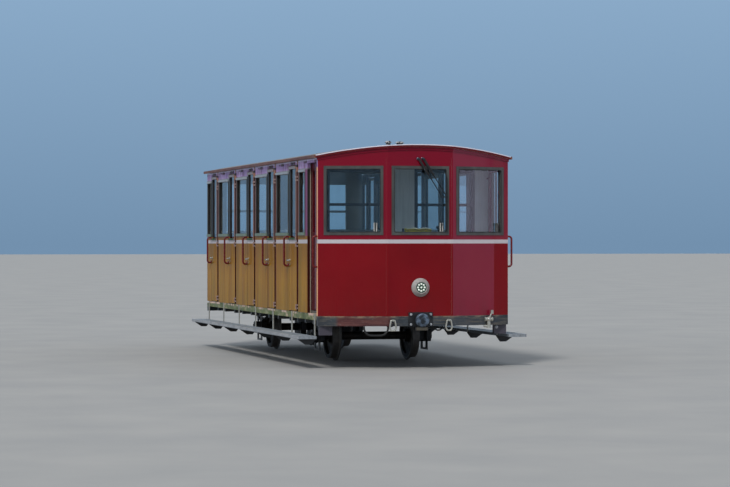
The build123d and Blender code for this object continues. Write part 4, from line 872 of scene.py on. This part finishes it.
def coupler_bolts():
    """Bolts on both couplers' plates and on a corner plate, and rims on both buffer heads."""
    bolts, rims = Shape("coupler_bolts", "worn_edge"), Shape("buffer_rims", "blue_steel")
    buffer_z, plate_thick = 0.588, 0.0275
    for face_x, way in ((NOSE_X, 1), (REAR_X, -1)):
        for y in (-0.124, 0.124):
            for z in (0.537, 0.657):
                bolts.bolt((face_x + way * plate_thick, y, z), (way, 0, 0), 0.011, 0.010)
    bolts.bolt((FRONT_X + 0.0075, 1.050, 0.489), AHEAD, 0.015, 0.010)
    low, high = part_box("couplers")
    for end_x, way in ((high.x, 1), (low.x, -1)):
        for back, radius, thick in ((0.003, 0.060, 0.0035), (0.034, 0.0815, 0.0045)):
            rims.tube(upright(end_x - way * back, 0, buffer_z, circle(32, radius)), thick, closed=True)


# Fittings along the sides
HINGE_HEIGHTS = (RAIL + 0.695, RAIL + 1.470, RAIL + 2.290)


def hinge_screws(shape, x_places, side, heights):
    for x in x_places:
        for z in heights:
            shape.screw((x, side * (SIDE + 0.004), z), (0, side, 0), 0.0045, 0.002)


def side_fittings():
    """Screws in the posts' hinge leaves, over and under the doors' own, and roses at the grab rails' ends."""
    on_posts, roses = Shape("post_screws", "bright_steel"), Shape("rail_roses", "rail_paint")
    heights = [z + shift for z in HINGE_HEIGHTS for shift in (-0.020, 0.020)]
    rose = ((-0.001, 0.026), (0.003, 0.026), (0.006, 0.019), (0.010, 0.0155))
    for side in HANDS.values():
        for post_x, rail_x in zip(each_bay(POST_X), each_bay(RAIL_X)):
            hinge_screws(on_posts, (post_x - 0.012, post_x + 0.022), side, heights)
            for z in (PANE_LOW - 0.065, PANE_LOW - 0.408):
                roses.turned((rail_x, side * SIDE, z), (0, side, 0), rose, 16)


def door_fittings():
    """Screws in the doors' hinge leaves; at each handle a let-in plate, a rose, a keyhole boss and a knob."""
    rose, boss = ((0, 0.017), (0.007, 0.017), (0.010, 0.013)), ((0, 0.010), (0.005, 0.010), (0.006, 0.006))
    knob = ((0, 0.0085), (0.006, 0.0100), (0.012, 0.0085), (0.015, 0.004))
    handle_z, bevel = PANE_LOW - 0.350, 0.002
    for hand, side in HANDS.items():
        for number, post_x in enumerate(each_bay(POST_X), 1):
            place = f"{hand}_{number}"
            body = f"{hand}_door_{number}"
            screws = Shape("hinge_screws_" + place, "bright_steel", body)
            plate = Shape("escutcheon_" + place, "fitting_steel", body)
            front = post_x - 0.048
            hinge_screws(screws, (front - 0.014, front - 0.034), side, HINGE_HEIGHTS)
            x = front - 0.365
            rings = []
            for back, inset in ((0.001, 0), (0.003, 0), (0.005, bevel)):
                corners = eased(0.020 - inset, 0.062 - inset, bevel)
                rings.append([(x + side * a, side * (SIDE - back), handle_z - 0.022 + b) for a, b in corners])
            plate.skin(rings)
            plate.turned((x, side * SIDE, handle_z), (0, side, 0), rose, 16)
            plate.turned((x, side * SIDE, handle_z - 0.055), (0, side, 0), boss, 12)
            plate.turned((x + 0.082, side * (SIDE + 0.038), handle_z), AHEAD, knob, 12)


def board_fittings():
    """A worn metal nosing along each running board, and bolts over its hangers."""
    low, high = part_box("running_boards")
    nosing, bolts = Shape("board_nosing", "worn_edge"), Shape("board_bolts", "fitting_steel")
    deep, thick, skirt, end, hangers = 0.024, 0.0025, high.z - 0.030, 0.002, 8
    top, under = high.z + thick, high.z + 0.0005
    profile = ((0, skirt), (0, top), (-deep, top), (-deep, under), (-thick, under), (-thick, skirt))
    step = (high.x - low.x - 0.30) / (hangers - 1)
    for side in HANDS.values():
        edge = side * (high.y + 0.0015)
        rings = [[(x, edge + side * out, z) for out, z in profile] for x in (low.x + end, high.x - end)]
        nosing.skin(rings if side > 0 else rings[::-1])
        for number in range(hangers):
            for y in (SIDE + 0.060, SIDE + 0.190):
                bolts.screw((FRONT_X - 0.150 - number * step, side * y, high.z), (0, 0, 1), 0.010, 0.004)


# Fittings on the roof, inside and under the floor
def hoop(shape, x, crown, reach, profile, steps=28):
    """A strip across the roof: its profile is in X and in height over the arc, whose crown is at a height."""
    rings = []
    for i in range(steps + 1):
        y = -reach + 2 * reach * i / steps
        arc = crown - ROOF_RADIUS + math.sqrt(ROOF_RADIUS ** 2 - y * y)
        rings.append([(x + along, y, arc + rise) for along, rise in profile])
    shape.skin(rings)


def roof_fittings():
    """Seams over the roof, and ribs and lamps under it."""
    seams = Shape("roof_seams", "roof_paint", smooth=30)
    ribs = Shape("roof_ribs", "interior_board", smooth=30)
    rims = Shape("ceiling_lamp_rims", "bright_steel")
    domes = Shape("ceiling_lamp_domes", "pale_plastic", smooth=60)
    first, step, count = 3.02, 0.755, 9
    seam = ((-0.014, -0.002), (-0.009, 0.005), (0.009, 0.005), (0.014, -0.002))
    for number in range(count):
        hoop(seams, first - number * step, ROOF_Z, ROOF_HALF - 0.012, seam)
    rib = [(-0.020, 0.002), (-0.020, -0.024), (-0.014, -0.030)]
    rib += [(-x, z) for x, z in reversed(rib)]
    for x in each_bay(POST_X):
        hoop(ribs, x, ROOF_Z - 0.035, 1.150, rib)
    rim = ((0, 0.110), (0.016, 0.110), (0.022, 0.098), (0.022, 0.092))
    dome = ((0.010, 0.094), (0.028, 0.088), (0.040, 0.068), (0.047, 0.036), (0.049, 0.006))
    for x in each_bay(POST_X - 0.5 * BAY):
        for shape, profile in ((rims, rim), (domes, dome)):
            shape.turned((x, 0, ROOF_Z - 0.034), (0, 0, -1), profile, 24)


def desk_fittings():
    """Gauges on the console, two knobbed levers, and an open log book on the rest."""
    top, back_x = FLOOR_Z + 0.930, NOSE_X - 0.215
    rims, faces = Shape("gauge_rims", "bright_steel"), Shape("gauge_faces", "pale_plastic")
    levers = Shape("desk_levers", "black_metal", smooth=50)
    book = Shape("log_book", "yellow_card")
    pages = Shape("log_book_pages", "paper", smooth=60)
    for y in (-0.110, 0.0, 0.110):
        place = (back_x, y, top + 0.036)
        rims.turned(place, (-1, 0, 0), ((0, 0.032), (0.008, 0.032), (0.011, 0.028), (0.009, 0.0255)), 20)
        faces.turned(place, (-1, 0, 0), ((0.001, 0.0262), (0.009, 0.0262), (0.0095, 0.024)), 20)
    foot = ((0, 0.034), (0.008, 0.034), (0.014, 0.018), (0.020, 0.012))
    knob = ((0, 0.008), (0.006, 0.016), (0.018, 0.020), (0.030, 0.016), (0.036, 0.005))
    for y in (-0.290, 0.290):
        levers.turned((back_x + 0.02, y, top), (0, 0, 1), foot, 16)
        levers.tube(((back_x + 0.02, y, top + 0.015), (back_x - 0.03, y, top + 0.075)), 0.007, 8)
        levers.turned((back_x - 0.026, y, top + 0.070), (-0.64, 0, 0.77), knob, 12)
    low_x, high_x, base_z = NOSE_X - 0.110, NOSE_X - 0.066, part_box("cab_controls")[1].z - 0.028
    steps, bulge = 16, 0.032
    for shape, rise, half, thick in ((book, 0.0, 0.150, 0.006), (pages, 0.006, 0.146, 0.010)):
        rings = []
        for i in range(steps + 1):
            y = -half + 2 * half * i / steps
            share = abs(y) / half
            swell = base_z + rise + bulge * (1 - share) * share
            corners = (low_x, -0.004), (high_x, 0.014), (high_x, 0.014 + thick), (low_x, thick - 0.004)
            rings.append([(x, y, swell + up) for x, up in corners])
        shape.skin(rings)


def underfloor_fittings():
    """The brake pipe with its unions, a drain on the air tank, and bolts on the axle boxes' lids."""
    pipes, lids = Shape("brake_pipes", "black_metal"), Shape("axle_box_bolts", "black_metal")
    pipe_z, pipe_y = RAIL + 0.465, 0.250
    low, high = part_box("air_tank")
    tank = (low + high) / 2
    tank_z = tank.z - 0.006
    bends = (
        (-0.01, 0.0, tank_z), (0.05, 0.0, tank_z), (0.09, 0.03, tank_z + 0.01), (0.10, 0.20, pipe_z - 0.04),
        (0.12, 0.24, pipe_z - 0.01), (0.18, pipe_y, pipe_z),
    )
    for start_x, end_x, way in ((high.x, NOSE_X - 0.10, 1), (low.x, REAR_X + 0.10, -1)):
        run = [(start_x + way * out, y, z) for out, y, z in bends]
        pipes.tube([*run, (end_x, pipe_y, pipe_z)], 0.011, 10)
    nut, neck, end = 0.022, 0.018, 0.012
    union = [(0, end), (0.002, neck), (0.018, neck), (0.020, nut)]
    union += [(0.054 - along, radius) for along, radius in reversed(union)]
    for x in (-3.2, -2.6, -1.6, 0.4, 1.9, 2.6, 3.2):
        pipes.turned((x, pipe_y, pipe_z), AHEAD, union, 6)
    drain = ((0, 0.020), (0.010, 0.020), (0.012, 0.012), (0.030, 0.012), (0.034, 0.007))
    pipes.turned((tank.x, 0, low.z + 0.004), (0, 0, -1), drain, 8)
    lid_y, boss = 0.8035, ((0, 0.022), (0.004, 0.020), (0.007, 0.012), (0.008, 0.004))
    for centre in AXLES.values():
        for side in HANDS.values():
            for place in lengthwise(centre.x, side * lid_y, centre.z, circle(4, 0.043, 0.785)):
                lids.bolt(place, (0, side, 0), 0.007, 0.007)
            lids.turned((centre.x, side * lid_y, centre.z), (0, side, 0), boss, 16)


def wheel_fittings():
    """Bolts round each hub and an oil groove on each rim, which turn with the axle."""
    for end, centre in AXLES.items():
        shape = Shape(f"{end}_wheel_fittings", "worn_steel", f"{end}_axle")
        for side in HANDS.values():
            face_y = side * 0.574
            for place in lengthwise(centre.x, face_y, centre.z, circle(6, 0.068)):
                shape.bolt(place, (0, side, 0), 0.008, 0.010)
            shape.tube(lengthwise(centre.x, face_y, centre.z, circle(40, 0.262)), 0.004, closed=True)


# Camera, light and floor
def shine(data, place, towards):
    """Sets a light up at a place."""
    light = linked(data.name, data)
    light.location = place
    light.rotation_euler = Vector(towards).to_track_quat("-Z", "Y").to_euler()


def camera():
    """The photo's view."""
    data = bpy.data.cameras.new("camera")
    data.sensor_width, data.lens, data.clip_end = 36.0, 117.65, 500
    eye = SCENE.camera = linked("camera", data)
    eye.location = (31.167, -7.963, 1.509)
    eye.rotation_euler = (math.radians(90), 0, math.radians(75.213))


def studio():
    """A soft sky that is darker at its horizon, a broad sun, and a soft box ahead of the left corner."""
    world = SCENE.world = bpy.data.worlds.new("studio")
    net = Nodes(world)
    light, output = net.tree.nodes["Background"], net.tree.nodes["World Output"]
    net.feed(light.inputs["Color"], (0.92, 0.96, 1.0, 1))
    net.feed(light.inputs["Strength"], 0.72)
    height = net.node("SeparateXYZ", net.node("TexCoord").outputs["Generated"]).outputs["Z"]
    sky = (0.0, (0.17, 0.28, 0.42, 1)), (0.12, (0.27, 0.42, 0.60, 1)), (0.5, (0.52, 0.68, 0.84, 1))
    seen = net.node("Background", net.ramp(height, *sky))
    path = net.node("LightPath").outputs
    either = path["Is Camera Ray"]
    for name in ("Is Glossy Ray", "Is Transmission Ray"):
        either = net.calc("ADD", either, path[name], use_clamp=True)
    mix = net.node("MixShader", either, light.outputs[0], seen.outputs[0])
    net.feed(output.inputs["Surface"], mix.outputs[0])
    sun = bpy.data.lights.new("key", "SUN")
    sun.energy, sun.angle, sun.color = 2.2, math.radians(10), (1.0, 0.96, 0.90)
    shine(sun, (0, 0, 0), (-0.60, 0.42, -0.80))
    box = bpy.data.lights.new("soft_box", "AREA")
    box.shape, box.size, box.size_y = "RECTANGLE", 2.2, 3.2
    box.energy, box.color = 20, (0.98, 0.78, 1.0)
    shine(box, (NOSE_X + 5.26, 7.99, 1.9), (-5.41, -7.19, -0.4))


def ground():
    """A pale studio floor."""
    mesh = bpy.data.meshes.new("studio_floor")
    reach = 300
    corners = [(x * reach, y * reach, 0) for x, y in ((-1, -1), (1, -1), (1, 1), (-1, 1))]
    mesh.from_pydata(corners, [], [(0, 1, 2, 3)])
    floor = linked("studio_floor", mesh)
    mat = Paint("studio_floor", Roughness=0.8)
    mat.colour = mat.span(mat.noise(0.8, 4), (0.27, 0.27, 0.27, 1), (0.31, 0.305, 0.30, 1))
    mat.set("Base Color", mat.colour)
    mesh.materials.append(mat.material)


cushions()
front_fittings()
headlamp_lenses()
wiper_parts()
coupler_bolts()
side_fittings()
door_fittings()
board_fittings()
roof_fittings()
desk_fittings()
underfloor_fittings()
wheel_fittings()
for shape in SHAPES:
    shape.made()
SCENE.view_settings.view_transform = "Standard"
camera()
studio()
ground()
